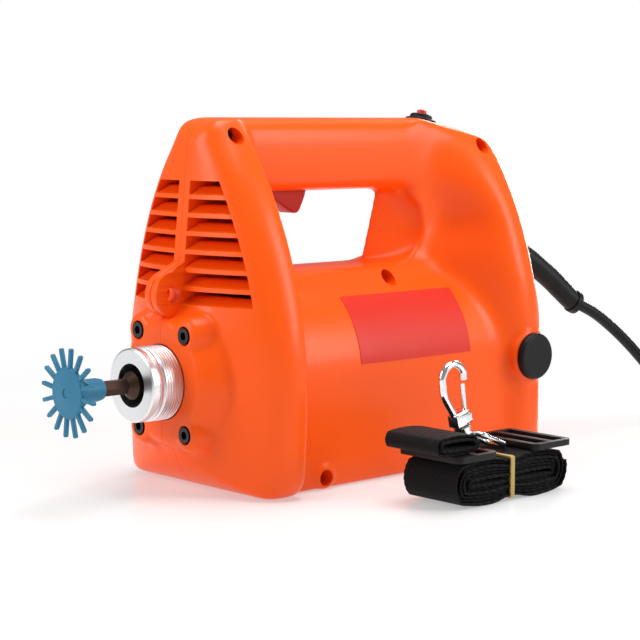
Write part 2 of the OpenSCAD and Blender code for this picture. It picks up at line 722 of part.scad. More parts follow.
module armature_shaft() {
    journal = front_bearing_bore / 2 - running;
    front_end = front_bearing_y + front_bearing_len;
    step = commutator_y - 8;
    tail = rear_bearing_y;
    color("#8d9096") turned_y([[0, spindle_root_y - spindle_tenon_len + 0.2],
        [spindle_tenon_r, spindle_root_y - spindle_tenon_len + 0.2], [spindle_tenon_r, spindle_root_y],
        [journal, spindle_root_y], [journal, front_end + 0.3], [shaft_r, front_end + 0.3], [shaft_r, step],
        [commutator_shaft_r, step], [commutator_shaft_r, tail - 0.3], [rear_bearing_bore / 2 - running, tail - 0.3],
        [rear_bearing_bore / 2 - running, tail + rear_bearing_len], [0, tail + rear_bearing_len]]);
}

module armature_core() {
    slots = 12;
    color("#6d7076") difference() {
        round_y(armature_d / 2, stator_y0 + 2, stator_y1 - 2);
        round_y(shaft_r + running, stator_y0, stator_y1);
        for (k = [0:slots - 1]) translate([0, 0, axis_z]) rotate([0, 360 * k / slots, 0])
            box([-1.5, stator_y0, armature_d / 2 - 9], [1.5, stator_y1, armature_d / 2 + 1]);
    }
}

// One dome of end turns, from y out to y + way * end_turn
module end_dome(y, way) {
    out = armature_d / 2 - 2;
    turned_y([[shaft_r + running, y], [out, y], [out, y + way * 8], [out - 6, y + way * end_turn],
        [shaft_r + running, y + way * end_turn]]);
}

module armature_winding() {
    color("#a8642c") {
        end_dome(stator_y0 + 2, -1);
        end_dome(stator_y1 - 2, 1);
    }
}

module commutator() {
    bars = 24;
    color("#b87442") difference() {
        round_y(commutator_d / 2, commutator_y, commutator_y + commutator_len);
        round_y(commutator_shaft_r + running, commutator_y - 1, commutator_y + commutator_len + 1);
        for (k = [0:bars - 1]) translate([0, 0, axis_z]) rotate([0, 360 * k / bars, 0])
            box([-0.4, commutator_y - 1, commutator_d / 2 - 1.2],
                [0.4, commutator_y + commutator_len - 3, commutator_d / 2 + 1]);
    }
}

module cooling_fan() {
    blades = 13;
    color("#34363a") difference() {
        union() {
            round_y(17, fan_y, fan_y + fan_len);
            round_y(fan_d / 2, fan_y + fan_len - 3, fan_y + fan_len);
            for (k = [0:blades - 1]) translate([0, 0, axis_z]) rotate([0, 360 * k / blades, 0])
                box([-1.2, fan_y + 3, 15], [1.2, fan_y + fan_len - 2, fan_d / 2 - 1]);
        }
        round_y(shaft_r + running, fan_y - 1, fan_y + fan_len + 1);
    }
}

module fan_baffle() {
    color("#3c3e42") turned_y([[baffle_r - 13, baffle_y], [baffle_r, baffle_y],
        [baffle_r, baffle_y + baffle_t], [baffle_r - 13, baffle_y + baffle_t]]);
}

module stator_core() {
    yoke = 8;
    pole_half = 17;
    bore = armature_d / 2 + air_gap;
    color("#787b80") translate([0, 0, axis_z]) along_y(stator_y0, stator_y1) difference() {
        union() {
            difference() {
                circle(r = stator_d / 2, $fn = 96);
                circle(r = stator_d / 2 - yoke, $fn = 96);
            }
            intersection() {
                circle(r = stator_d / 2 - yoke / 2, $fn = 96);
                union() {
                    square([2 * pole_half, stator_d], center = true);
                    intersection() {
                        circle(r = bore + 4, $fn = 96);
                        square([2 * bore - 8, stator_d], center = true);
                    }
                }
            }
        }
        circle(r = bore, $fn = 96);
        square([2 * bore + 20, 2 * bore - 36], center = true);
    }
}

module field_coils() {
    reach = stator_d / 2 - 8.6;
    low = armature_d / 2 + air_gap + 4.4;
    overhang = 15;
    color("#a8642c") for (s = [0, 1]) translate([0, 0, axis_z]) mirror([0, 0, s]) intersection() {
        difference() {
            box([-26, stator_y0 - overhang, 18], [26, stator_y1 + overhang, reach]);
            box([-17.4, stator_y0 - 0.4, 0], [17.4, stator_y1 + 0.4, reach + 1]);
        }
        translate([0, stator_y1 + overhang + 1, 0]) rotate([90, 0, 0]) difference() {
            cylinder(r = reach, h = stator_len + 2 * overhang + 2);
            translate([0, 0, -1]) cylinder(r = low, h = stator_len + 2 * overhang + 4);
        }
    }
}

module rear_bearing() {
    color("#a8abb0") bearing(rear_bearing_bore, rear_bearing_d, rear_bearing_y, rear_bearing_len);
}

module bearing_cup() {
    in = rear_bearing_d / 2;
    end = rear_bearing_y + rear_bearing_len;
    color("#242426") turned_y([[in, bulkhead_y + 0.5], [in + cup_t, bulkhead_y + 0.5], [in + cup_t, end + cup_floor],
        [in - 3, end + cup_floor], [in - 3, end], [in, end]]);
}

module brush_holders() {
    color("#b58a3c") for (s = [0, 1]) mirror([s, 0, 0]) difference() {
        round_x(holder_r, holder_x0, holder_x1, brush_y, axis_z);
        translate([0, brush_y, axis_z]) box([0, -brush_w / 2 - running, -brush_h / 2 - running],
            [holder_x1 + 1, brush_w / 2 + running, brush_h / 2 + running]);
    }
}

module carbon_brushes() {
    color("#2a2a2c") for (s = [0, 1]) mirror([s, 0, 0]) translate([0, brush_y, axis_z])
        box([commutator_d / 2 + 0.3, -brush_w / 2, -brush_h / 2],
            [commutator_d / 2 + 0.3 + brush_len, brush_w / 2, brush_h / 2]);
}

module brush_springs() {
    start = commutator_d / 2 + 0.3 + brush_len;
    color("#9a9da2") for (s = [0, 1]) mirror([s, 0, 0]) difference() {
        round_x(3.4, start, brush_face_x - cover_plug_len, brush_y, axis_z);
        round_x(2.4, start - 1, brush_face_x, brush_y, axis_z);
    }
}

module brush_cover() {
    r = brush_cover_d / 2;
    translate([brush_face_x, brush_y, axis_z]) rotate([0, 90, 0]) rotate_extrude()
        polygon(concat([[0, -cover_plug_len], [holder_r - 0.3, -cover_plug_len], [holder_r - 0.3, 0], [r, 0]],
            arc([r - 2.5, cover_t - 2.5], 2.5, 0, 90, 5), [[0, cover_t]]));
}

module brush_cover_left() { color("#2b2c30") brush_cover(); }
module brush_cover_right() { color("#2b2c30") mirror([1, 0, 0]) brush_cover(); }

module trigger() {
    color("#c0281a") translate([0, pivot[0], pivot[1]]) difference() {
        along_x(-trigger_w / 2, trigger_w / 2) union() {
            circle(r = pin_boss_r);
            polygon([[0, -4], [8, -10.5], [22, -18], [32, -24], [36, -26], [39, -25.4], [42, -22], [45.5, -15],
                [48, -9], [49, -2], [46, 1], [30, 2.2], [4, 4]]);
        }
        round_x(trigger_pin_d / 2 + running, -trigger_w, trigger_w, 0, 0);
    }
}

module trigger_pin() {
    color("#a8abb0") round_x(trigger_pin_d / 2, -grip_w / 2 + wall + 0.2, grip_w / 2 - wall - 0.2, pivot[0], pivot[1]);
}

module switch_body() {
    color("#303236") difference() {
        switch_block(0);
        translate([0, plunger_y, switch_z - 1]) cylinder(r = plunger_r + running, h = 13);
    }
}

module switch_plunger() {
    color("#d8d8d4") translate([0, plunger_y, plunger_z]) rotate_extrude()
        polygon(concat([[0, 0]], arc([plunger_r - 2, 2], 2, 270, 360, 4), [[plunger_r, plunger_len], [0, plunger_len]]));
}

module breaker_body() {
    color("#2e3034") at_breaker() difference() {
        union() {
            translate([0, 0, -breaker_seat - breaker_len]) cylinder(r = breaker_r, h = breaker_len);
            translate([0, 0, -breaker_seat - 1]) cylinder(r = neck_r, h = breaker_seat + 1 + neck_len);
        }
        translate([0, 0, -button_depth - 2.5]) cylinder(r = button_r + 0.1, h = 20);
    }
}

module breaker_nut() {
    color("#202226") at_breaker() difference() {
        rotate_extrude() polygon(concat([[0, 0], [nut_r, 0]], arc([nut_r - 1.2, nut_h - 1.2], 1.2, 0, 90, 4), [[0, nut_h]]));
        translate([0, 0, -1]) cylinder(r = neck_r + 0.1, h = nut_h + 2);
    }
}

module reset_button() {
    color("#d02418") at_breaker() rotate_extrude()
        polygon(concat([[0, -button_depth], [button_r, -button_depth]],
            arc([button_r - 1, button_top - 1], 1, 0, 90, 4), [[0, button_top]]));
}

module inner_lead() {
    color("#2a2b2e") tube(inner_points, [for (p = inner_points) inner_r], 10, [1, 0, 0]);
}

module cable_clamp() {
    low = entry_z + inner_r;
    color("#303236") difference() {
        box([-clamp_w / 2 + 1, clamp_y, entry_z - inner_r], [clamp_w / 2 - 1, clamp_y + clamp_len, low + clamp_h - 2]);
        box([-inner_r - slip, clamp_y - 1, entry_z - inner_r - 1],
            [inner_r + slip, clamp_y + clamp_len + 1, low + slip]);
        for (x = [-1, 1]) translate([x * clamp_screw_x, clamp_y + clamp_len / 2, 0])
            cylinder(r = clamp_screw_r + slip, h = body_h);
    }
}

module clamp_screws() {
    top = entry_z + inner_r + clamp_h - 2;
    color("#a8abb0") for (x = [-1, 1]) translate([x * clamp_screw_x, clamp_y + clamp_len / 2, 0]) {
        translate([0, 0, entry_z - inner_r - 11]) cylinder(r = clamp_screw_r, h = top - entry_z + inner_r + 11.1);
        translate([0, 0, top]) cylinder(r = 3.2, h = 2);
    }
}

module cable_boot() { color("#26272a") tube(boot_points, boot_radii, 12, [1, 0, 0]); }

module cable_lead() {
    color("#26272a") tube(lead_points, [for (p = lead_points) cable_d / 2], 10, [1, 0, 0]);
}

module cable_coil() {
    color("#26272a") tube(coil_points, [for (p = coil_points) cable_d / 2], 6, [0, 0, 1]);
}

module coil_tie() {
    gap = cable_d / 2 + 0.8;
    low = coil_at[1] + coil_radius(coil_end / 2) - gap;
    high = coil_at[1] + coil_out + gap;
    top = coil_z + coil_layer + cable_d / 2 + 0.8;
    color("#303236") along_x(coil_at[0] - tie_w / 2, coil_at[0] + tie_w / 2) difference() {
        rounded_box(low - tie_t, 0, high + tie_t, top + tie_t, 3);
        rounded_box(low, tie_t, high, top, 2);
    }
}

module plug_body() {
    color("#26272a") translate([plug_x, 0, plug_z - axis_z]) turned_y([[0, plug_y1], [6, plug_y1],
        [7.5, plug_y1 - 14], [15, plug_y1 - 24], [plug_r, plug_y1 - 32], [plug_r, plug_y1 - plug_len + 2],
        [plug_r - 2, plug_y1 - plug_len], [0, plug_y1 - plug_len]]);
}

module plug_pins() {
    end = plug_y1 - plug_len;
    r = plug_pin_d / 2;
    color("#c9ccd0") for (s = [-1, 1]) translate([plug_x + s * plug_pitch / 2, 0, plug_z - axis_z])
        turned_y([[0, end], [r, end], [r, end - plug_pin_len + 1.5], [r - 1.5, end - plug_pin_len],
            [0, end - plug_pin_len]]);
}

module webbing_hank() {
    color("#1c1c1e") along_x(strap_x - web_w / 2, strap_x + web_w / 2) translate([strap_y, hank_z])
        polygon(hank_outline);
}

module webbing_tail() {
    color("#1c1c1e") along_x(strap_x - web_w / 2, strap_x + web_w / 2) translate([tail_y, tail_z])
        polygon(tail_outline);
}

module rubber_band() {
    side = web_w / 2 + 0.3;
    color("#b59a5a") along_y(strap_y - band_w / 2, strap_y + band_w / 2) difference() {
        rounded_box(strap_x - side - band_t, band_low - band_t, strap_x + side + band_t, band_high + band_t, 1.4);
        rounded_box(strap_x - side, band_low, strap_x + side, band_high, 0.3);
    }
}

// A three-bar slide of moulded plastic, its middle at y
module strap_slide(y) {
    color("#303236") translate([strap_x, y, slide_z]) linear_extrude(slide_t) difference() {
        rounded_box(-slide_w / 2, -slide_len / 2, slide_w / 2, slide_len / 2, 5);
        for (s = [-1, 1]) translate([0, s * (slide_len / 4 - slide_bar / 4)])
            square([web_w + 1, slide_len / 2 - 1.5 * slide_bar], center = true);
    }
}

module front_slide() { strap_slide(front_slide_y); }
module rear_slide() { strap_slide(rear_slide_y); }

// The hook's own plane: u across the hook, v along its stem, with its thickness along X
module in_hook() { translate(hook_at) rotate([hook_tilt, 0, 0]) children(); }
module hook_plate(t) { along_x(-t / 2, t / 2) children(); }

module hook_eye() {
    color("#c4c6ca") in_hook() difference() {
        union() {
            cylinder(r = barrel_r, h = barrel_len);
            rotate([-hook_tilt - eye_slope, 0, 0]) translate([0, 0, 2]) linear_extrude(3.4) difference() {
                rounded_box(-eye_w / 2, 2, eye_w / 2, eye_len, 5);
                rounded_box(-eye_w / 2 + 3.6, 9, eye_w / 2 - 3.6, eye_len - 3.6, 3);
            }
        }
        translate([0, 0, -20]) cylinder(r = stem_r + running, h = 40);
        translate([0, 0, -20]) cylinder(r = stem_r + 1.6, h = 20.5);
    }
}

// Outline of the hook's wire, from the block round the top to the nose
function hook_side(shift) =
    let (r = hook_wire / 2, top = barrel_len + block_h + hook_rise)
    concat([[-4.5 + shift, barrel_len + block_h - 1]], [[-9.5 + shift, top - 16]],
        arc([1.5, top - 9], 10 - shift, 172, 10, 12), [[9.5 - 0.3 * shift, top - 13]]);

module hook_body() {
    color("#d0d2d6") in_hook() difference() {
        union() {
            hook_plate(9) polygon([[-block_w / 2, barrel_len + 0.3], [block_w / 2, barrel_len + 0.3],
                [block_w / 2, barrel_len + block_h - 3], [block_w / 2 - 3, barrel_len + block_h],
                [-block_w / 2 + 1, barrel_len + block_h]]);
            hook_plate(hook_wire) polygon(concat(hook_side(-hook_wire / 2), reversed(hook_side(hook_wire / 2))));
            translate([0, 0, 0.3]) cylinder(r = stem_r, h = barrel_len + 1);
            translate([0, 0, -2]) cylinder(r = stem_r + 1.2, h = 2.4);
        }
        hook_plate(gate_w + 0.8) translate(gate_foot) union() {
            circle(r = 3.2);
            translate([-6, -1]) square([10, 12]);
        }
        round_x(gate_pin_r + running, -6, 6, gate_foot[0], gate_foot[1]);
    }
}

module hook_gate() {
    top = barrel_len + block_h + hook_rise;
    color("#d0d2d6") in_hook() difference() {
        hook_plate(gate_w) union() {
            translate(gate_foot) circle(r = 2.7);
            polygon([gate_foot + [-1.6, 0], gate_foot + [2.6, 0], [9.8, top - 14.2], [6.6, top - 14.2]]);
        }
        round_x(gate_pin_r + running, -6, 6, gate_foot[0], gate_foot[1]);
    }
}

module hook_pin() { color("#9a9da2") in_hook() round_x(gate_pin_r, -4.4, 4.4, gate_foot[0], gate_foot[1]); }

left_shell();
right_shell();
left_lug();
right_lug();
case_screws();
rating_plate();
nose_flange();
flange_screws();
shaft_seal();
front_bearing();
drive_spindle();
drive_star();
armature_shaft();
armature_core();
armature_winding();
commutator();
cooling_fan();
fan_baffle();
stator_core();
field_coils();
rear_bearing();
bearing_cup();
brush_holders();
carbon_brushes();
brush_springs();
brush_cover_left();
brush_cover_right();
trigger();
trigger_pin();
switch_body();
switch_plunger();
breaker_body();
breaker_nut();
reset_button();
inner_lead();
cable_clamp();
clamp_screws();
cable_boot();
cable_lead();
cable_coil();
coil_tie();
plug_body();
plug_pins();
webbing_hank();
webbing_tail();
rubber_band();
front_slide();
rear_slide();
hook_eye();
hook_body();
hook_gate();
hook_pin();
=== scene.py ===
# %% [markdown]
# # A concrete vibrator's drive unit
# The real thing is a mains motor in an orange clamshell casing. A hose screws onto the bright
# nose, a hand goes through the grip, and the carrying strap lies beside it.
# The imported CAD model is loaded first, as a fixed frame. Every piece made here sits where its
# CAD node sits, in metres, and rides on the body that carries it.

import json
import math

import bpy
import numpy as np
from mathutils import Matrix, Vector


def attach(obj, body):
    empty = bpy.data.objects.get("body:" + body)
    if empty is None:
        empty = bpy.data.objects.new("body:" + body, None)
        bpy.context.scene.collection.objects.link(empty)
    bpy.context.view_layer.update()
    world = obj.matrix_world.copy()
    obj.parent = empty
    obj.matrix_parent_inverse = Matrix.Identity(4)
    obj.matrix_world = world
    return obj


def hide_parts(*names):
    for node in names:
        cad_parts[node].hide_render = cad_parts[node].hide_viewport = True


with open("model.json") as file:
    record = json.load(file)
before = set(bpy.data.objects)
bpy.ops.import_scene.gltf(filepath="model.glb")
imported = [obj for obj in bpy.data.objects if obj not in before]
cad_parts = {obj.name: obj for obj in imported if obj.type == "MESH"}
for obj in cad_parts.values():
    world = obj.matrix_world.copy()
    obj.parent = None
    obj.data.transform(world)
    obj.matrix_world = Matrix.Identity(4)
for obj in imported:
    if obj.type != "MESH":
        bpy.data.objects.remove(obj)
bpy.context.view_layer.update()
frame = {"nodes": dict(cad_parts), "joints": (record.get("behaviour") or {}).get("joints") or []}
nodes = frame["nodes"]
joints = {joint["name"]: joint for joint in frame["joints"]}
MM = 0.001

# %% [markdown]
# ## Camera
# The camera was fitted to points picked on the photograph: the tips of the star, the edges that
# run along the casing and the circles of the nose. They fix its place, its turn and its lens. The
# long lens keeps the perspective gentle.

# %% Camera
eye_point = Vector((908.9, -842.9, 236.9)) * MM
look_way = Vector((-0.7375, 0.6664, -0.1097))
camera_data = bpy.data.cameras.new("camera")
camera_data.lens = 100.9
camera_data.sensor_width = 36
camera_data.clip_start, camera_data.clip_end = 0.05, 40
camera = bpy.data.objects.new("camera", camera_data)
bpy.context.scene.collection.objects.link(camera)
camera.location = eye_point
camera.rotation_euler = look_way.to_track_quat("-Z", "Y").to_euler()
bpy.context.scene.camera = camera
print("camera", [round(v, 3) for v in eye_point])

# %% [markdown]
# ## Small helpers
# An operator acts on whatever is selected, so each helper clears the selection first. A modifier
# is applied at once, so the next step always works on plain faces.

# %% Helpers for selecting, joining and cutting
def clear_selection():
    if bpy.context.object and bpy.context.object.mode != "OBJECT":
        bpy.ops.object.mode_set(mode="OBJECT")
    bpy.ops.object.select_all(action="DESELECT")


def take(piece):
    clear_selection()
    piece.select_set(True)
    bpy.context.view_layer.objects.active = piece
    return piece


def add_modifier(piece, kind, **settings):
    """Adds a modifier with these settings and applies it at once."""
    take(piece)
    made = piece.modifiers.new(kind.lower(), kind)
    for name, value in settings.items():
        setattr(made, name, value)
    bpy.ops.object.modifier_apply(modifier=made.name)
    return piece


def bevelled(piece, width):
    """Rounds the sharp edges of a piece; width in millimetres."""
    return add_modifier(piece, "BEVEL", width=width * MM, segments=3, limit_method="ANGLE",
                        angle_limit=math.radians(50))


def smooth(piece, angle=35):
    take(piece)
    bpy.ops.object.shade_smooth_by_angle(angle=math.radians(angle))
    return piece


def remove(*pieces):
    for piece in pieces:
        bpy.data.objects.remove(piece, do_unlink=True)


def copied(piece, name):
    """A copy of a piece, with its own mesh."""
    twin = piece.copy()
    twin.data = piece.data.copy()
    twin.name = name
    bpy.context.scene.collection.objects.link(twin)
    return twin


def joined(name, pieces):
    """Several pieces as one object, each keeping its own faces."""
    clear_selection()
    for piece in pieces:
        piece.select_set(True)
    bpy.context.view_layer.objects.active = pieces[0]
    if len(pieces) > 1:
        bpy.ops.object.join()
    pieces[0].name = name
    return pieces[0]


def combine(piece, other, operation, keep=False):
    """Union, difference or intersection of two closed meshes."""
    add_modifier(piece, "BOOLEAN", object=other, operation=operation, solver="MANIFOLD")
    if not keep:
        remove(other)
    return piece


# %% [markdown]
# Three ways to make a solid. A prism is a filled circle whose points are moved onto an outline and
# then extruded, like a sawn board. A lofted skin is a grid wrapped round rings of points, like
# canvas over ribs. A turned piece is a line spun about an axis, as on a lathe.

# %% Helpers for solids
AXES = {"X": (0, 1, 2), "Y": (1, 0, 2), "Z": (2, 0, 1)}
ALONG_Y = (90, 0, 0)


def prism(name, outline, axis, low, high):
    """A straight solid along an axis: outline holds millimetres on the other two axes."""
    clear_selection()
    bpy.ops.mesh.primitive_circle_add(vertices=len(outline), fill_type="NGON")
    piece = bpy.context.object
    piece.name = name
    main, first, second = AXES[axis]
    for vertex, (a, b) in zip(piece.data.vertices, outline):
        vertex.co[main], vertex.co[first], vertex.co[second] = low * MM, a * MM, b * MM
    way = [0, 0, 0]
    way[main] = (high - low) * MM
    bpy.ops.object.mode_set(mode="EDIT")
    bpy.ops.mesh.select_all(action="SELECT")
    bpy.ops.mesh.extrude_region_move(TRANSFORM_OT_translate={"value": way})
    bpy.ops.mesh.select_all(action="SELECT")
    bpy.ops.mesh.normals_make_consistent(inside=False)
    bpy.ops.object.mode_set(mode="OBJECT")
    return piece


def lofted(name, rings):
    """A closed skin through rings of points, in millimetres, all with as many points."""
    count = len(rings[0])
    clear_selection()
    bpy.ops.mesh.primitive_grid_add(x_subdivisions=count, y_subdivisions=len(rings) - 1, size=1)
    piece = bpy.context.object
    piece.name = name
    for vertex in piece.data.vertices:
        ring = rings[round((vertex.co.y + 0.5) * (len(rings) - 1))]
        vertex.co = Vector(ring[round((vertex.co.x + 0.5) * count) % count]) * MM
    bpy.ops.object.mode_set(mode="EDIT")
    bpy.ops.mesh.select_all(action="SELECT")
    bpy.ops.mesh.remove_doubles(threshold=1e-6)
    bpy.ops.mesh.fill_holes(sides=0)
    bpy.ops.mesh.select_all(action="SELECT")
    bpy.ops.mesh.normals_make_consistent(inside=False)
    bpy.ops.object.mode_set(mode="OBJECT")
    return piece


def rod(name, radius, axis, low, high, a, b, sides=48):
    """A round bar along an axis, its middle at (a, b) on the other two axes, in millimetres."""
    return prism(name, [(a + radius * math.cos(t), b + radius * math.sin(t))
                        for t in np.linspace(0, 2 * math.pi, sides, endpoint=False)], axis, low, high)


def turned(name, profile, steps=96):
    """A lathe piece: profile holds (radius, station) in millimetres, spun about Z."""
    clear_selection()
    bpy.ops.mesh.primitive_plane_add(size=0.001)
    piece = bpy.context.object
    piece.name = name
    bpy.ops.object.mode_set(mode="EDIT")
    bpy.ops.mesh.select_all(action="SELECT")
    bpy.ops.mesh.merge(type="CENTER")
    bpy.ops.object.mode_set(mode="OBJECT")
    radius, station = profile[0]
    piece.data.vertices[0].co = (radius * MM, 0, station * MM)
    bpy.ops.object.mode_set(mode="EDIT")
    bpy.ops.mesh.select_all(action="SELECT")
    for (r0, z0), (r1, z1) in zip(profile, profile[1:]):
        step = ((r1 - r0) * MM, 0, (z1 - z0) * MM)
        bpy.ops.mesh.extrude_region_move(TRANSFORM_OT_translate={"value": step})
    bpy.ops.mesh.select_all(action="SELECT")
    bpy.ops.mesh.spin(steps=steps, angle=2 * math.pi, center=(0, 0, 0), axis=(0, 0, 1))
    bpy.ops.mesh.select_all(action="SELECT")
    bpy.ops.mesh.remove_doubles(threshold=1e-6)
    bpy.ops.mesh.dissolve_degenerate(threshold=1e-7)
    bpy.ops.mesh.select_all(action="SELECT")
    bpy.ops.mesh.normals_make_consistent(inside=False)
    bpy.ops.object.mode_set(mode="OBJECT")
    return piece


def placed(piece, where, turn=(0, 0, 0)):
    """Turns a piece made about Z and moves it to its place, in millimetres, then freezes that."""
    take(piece)
    piece.rotation_euler = [math.radians(v) for v in turn]
    piece.location = Vector(where) * MM
    bpy.ops.object.transform_apply(location=True, rotation=True, scale=True)
    return piece


# %% [markdown]
# Outlines and bent bars. An arc gives points in millimetres, and a rounded box is four of them. A
# wire is a curve with a round section, for the cable, the boot and the hook. Last comes the helper
# that every finished piece goes through.

# %% Helpers for lines and for fitting out
def arc(middle, radius, start, end, count):
    """Points on an arc, angles in degrees."""
    return [(middle[0] + radius * math.cos(t), middle[1] + radius * math.sin(t))
            for t in np.radians(np.linspace(start, end, count + 1))]


def rounded_box(x0, y0, x1, y1, r, count=8):
    return (arc((x1 - r, y0 + r), r, -90, 0, count) + arc((x1 - r, y1 - r), r, 0, 90, count)
            + arc((x0 + r, y1 - r), r, 90, 180, count) + arc((x0 + r, y0 + r), r, 180, 270, count))


def smooth_path(points, spacing):
    """A rounded line through the points, resampled at an even spacing, all in millimetres."""
    p = np.array(points, float)
    ends = np.vstack([2 * p[0] - p[1], p, 2 * p[-1] - p[-2]])
    line = []
    for k in range(1, len(ends) - 2):
        a, b, c, d = ends[k - 1:k + 3]
        for t in np.linspace(0, 1, 24, endpoint=False):
            line.append(0.5 * (2 * b + (c - a) * t + (2 * a - 5 * b + 4 * c - d) * t ** 2
                               + (3 * b - a - 3 * c + d) * t ** 3))
    line = np.array(line + [p[-1]])
    run = np.concatenate([[0], np.cumsum(np.linalg.norm(np.diff(line, axis=0), axis=1))])
    even = np.linspace(0, run[-1], max(2, int(run[-1] / spacing) + 1))
    return np.column_stack([np.interp(even, run, line[:, k]) for k in range(3)])


def wire(name, points, radius, radii=None, sides=4, closed=False):
    """A round bar bent along points, in millimetres. radii are shares of radius."""
    data = bpy.data.curves.new(name, "CURVE")
    data.dimensions = "3D"
    data.bevel_depth = radius * MM
    data.bevel_resolution = sides
    data.use_fill_caps = not closed
    spline = data.splines.new("POLY")
    spline.points.add(len(points) - 1)
    spline.use_cyclic_u = closed
    for k, (point, co) in enumerate(zip(spline.points, points)):
        point.co = (*[v * MM for v in co], 1)
        point.radius = 1 if radii is None else radii[k]
    piece = bpy.data.objects.new(name, data)
    bpy.context.scene.collection.objects.link(piece)
    return piece


def as_mesh(piece):
    take(piece)
    bpy.ops.object.convert(target="MESH")
    return bpy.context.object


def fit_out(piece, body, slot, finish, *stands_for):
    """Puts a finish on a piece, rides it on its body and hides the CAD nodes it stands for."""
    piece.data.materials.clear()
    piece.data.materials.append(finish)
    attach(piece, body)
    if stands_for:
        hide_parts(*stands_for)
    return piece


# %% [markdown]
# ## Finishes
# A finish is a node tree. One small class wraps a socket, so that arithmetic on it reads as
# arithmetic and adds Math nodes, and its `node` method makes every other kind of node.

# %% Finish helpers
class Wire:
    def __init__(self, tree, socket=None):
        self.tree, self.socket = tree, socket

    def node(self, kind, settings=None, sockets=None, out=0):
        made = self.tree.nodes.new(kind)
        for name, value in (settings or {}).items():
            setattr(made, name, value)
        for name, value in (sockets or {}).items():
            if isinstance(value, Wire):
                self.tree.links.new(value.socket, made.inputs[name])
            else:
                made.inputs[name].default_value = value
        return Wire(self.tree, made.outputs[out])

    def math(self, operation, other, swap=False):
        first, second = (other, self) if swap else (self, other)
        return self.node("ShaderNodeMath", {"operation": operation}, {0: first, 1: second})

    def __add__(self, other):
        return self.math("ADD", other)

    def __sub__(self, other):
        return self.math("SUBTRACT", other)

    def __rsub__(self, other):
        return self.math("SUBTRACT", other, swap=True)

    def __mul__(self, other):
        return self.math("MULTIPLY", other)

    __radd__, __rmul__ = __add__, __mul__

    def clipped(self, low, high):
        """0 below low, 1 above high, and smooth between."""
        return self.node("ShaderNodeMapRange", {"interpolation_type": "SMOOTHSTEP"},
                         {"Value": self, "From Min": low, "From Max": high})


def srgb(code):
    """A colour written as on screen, such as 'ff6428', as the linear numbers a shader takes."""
    parts = [int(code[k:k + 2], 16) / 255 for k in (0, 2, 4)]
    return tuple(v / 12.92 if v <= 0.04045 else ((v + 0.055) / 1.055) ** 2.4 for v in parts)


class Finish:
    """A material with its Principled shader, and shortcuts to the textures used here."""

    def __init__(self, name, **constants):
        self.material = bpy.data.materials.new(name)
        self.material.use_nodes = True
        self.tree = self.material.node_tree
        self.shader = self.tree.nodes["Principled BSDF"]
        self.root = Wire(self.tree)
        self.place = self.root.node("ShaderNodeTexCoord", out=3)
        for name, value in constants.items():
            self.shader.inputs[name.replace("_", " ")].default_value = value

    def noise(self, size, detail=3, stretch=(1, 1, 1)):
        """Cloudy noise with features about size metres across."""
        at = self.root.node("ShaderNodeMapping", None, {"Vector": self.place, "Scale": stretch})
        return self.root.node("ShaderNodeTexNoise", None,
                              {"Vector": at, "Scale": 1 / size, "Detail": detail})

    def mix(self, share, first, second):
        def colour(value):
            return value if isinstance(value, Wire) else (*value, 1)
        return self.root.node("ShaderNodeMix", {"data_type": "RGBA"},
                              {"Factor": share, 6: colour(first), 7: colour(second)}, out=2)

    def feed(self, name, value):
        self.tree.links.new(value.socket, self.shader.inputs[name])
        return self

    def bump(self, height, strength, distance):
        made = self.root.node("ShaderNodeBump", None,
                              {"Height": height, "Strength": strength, "Distance": distance})
        return self.feed("Normal", made)


def moulded(name, colour, rough, tint=0.06, grain=0.0, gloss=0.0):
    """Moulded plastic: a nearly even colour, cloudy gloss and a fine skin."""
    f = Finish(name, IOR=1.45, Coat_Roughness=0.12, Specular_IOR_Level=0.28)
    cloud = f.noise(0.06, 2)
    dark = tuple(v * (1 - tint) for v in colour)
    pale = tuple(min(1, v * (1 + tint)) for v in colour)
    f.feed("Base Color", f.mix(cloud, dark, pale))
    f.feed("Roughness", rough - 0.04 + f.noise(0.012, 4) * 0.08)
    f.shader.inputs["Coat Weight"].default_value = gloss
    f.bump(f.noise(0.0011 if grain else 0.004, 2), 0.06 + grain, 0.0004)
    return f.material


def metal(name, colour, rough, grain=(1, 1, 1), scratch=0.1):
    """Bare metal with a drawn or turned grain: grain is the pattern's scale on each axis."""
    f = Finish(name, Metallic=1.0)
    lines = f.noise(0.0016, 3, grain)
    dark = tuple(v * 0.86 for v in colour)
    pale = tuple(min(1, v * 1.06) for v in colour)
    f.feed("Base Color", f.mix(lines, dark, pale))
    f.feed("Roughness", rough - 0.06 + lines * 0.14)
    f.bump(lines, scratch, 0.0002)
    return f.material


# %% [markdown]
# The casing is glossy orange plastic: its colour is nearly even, a faint cloudiness breaks up
# the gloss, and a trace of clear top layer sharpens the highlights. The blacks differ in gloss:
# the covers are satin, the cable is duller, the screws are oxidised steel. Painted pictures could
# carry all this, but noise measured in metres stays fine from close by and needs no file.

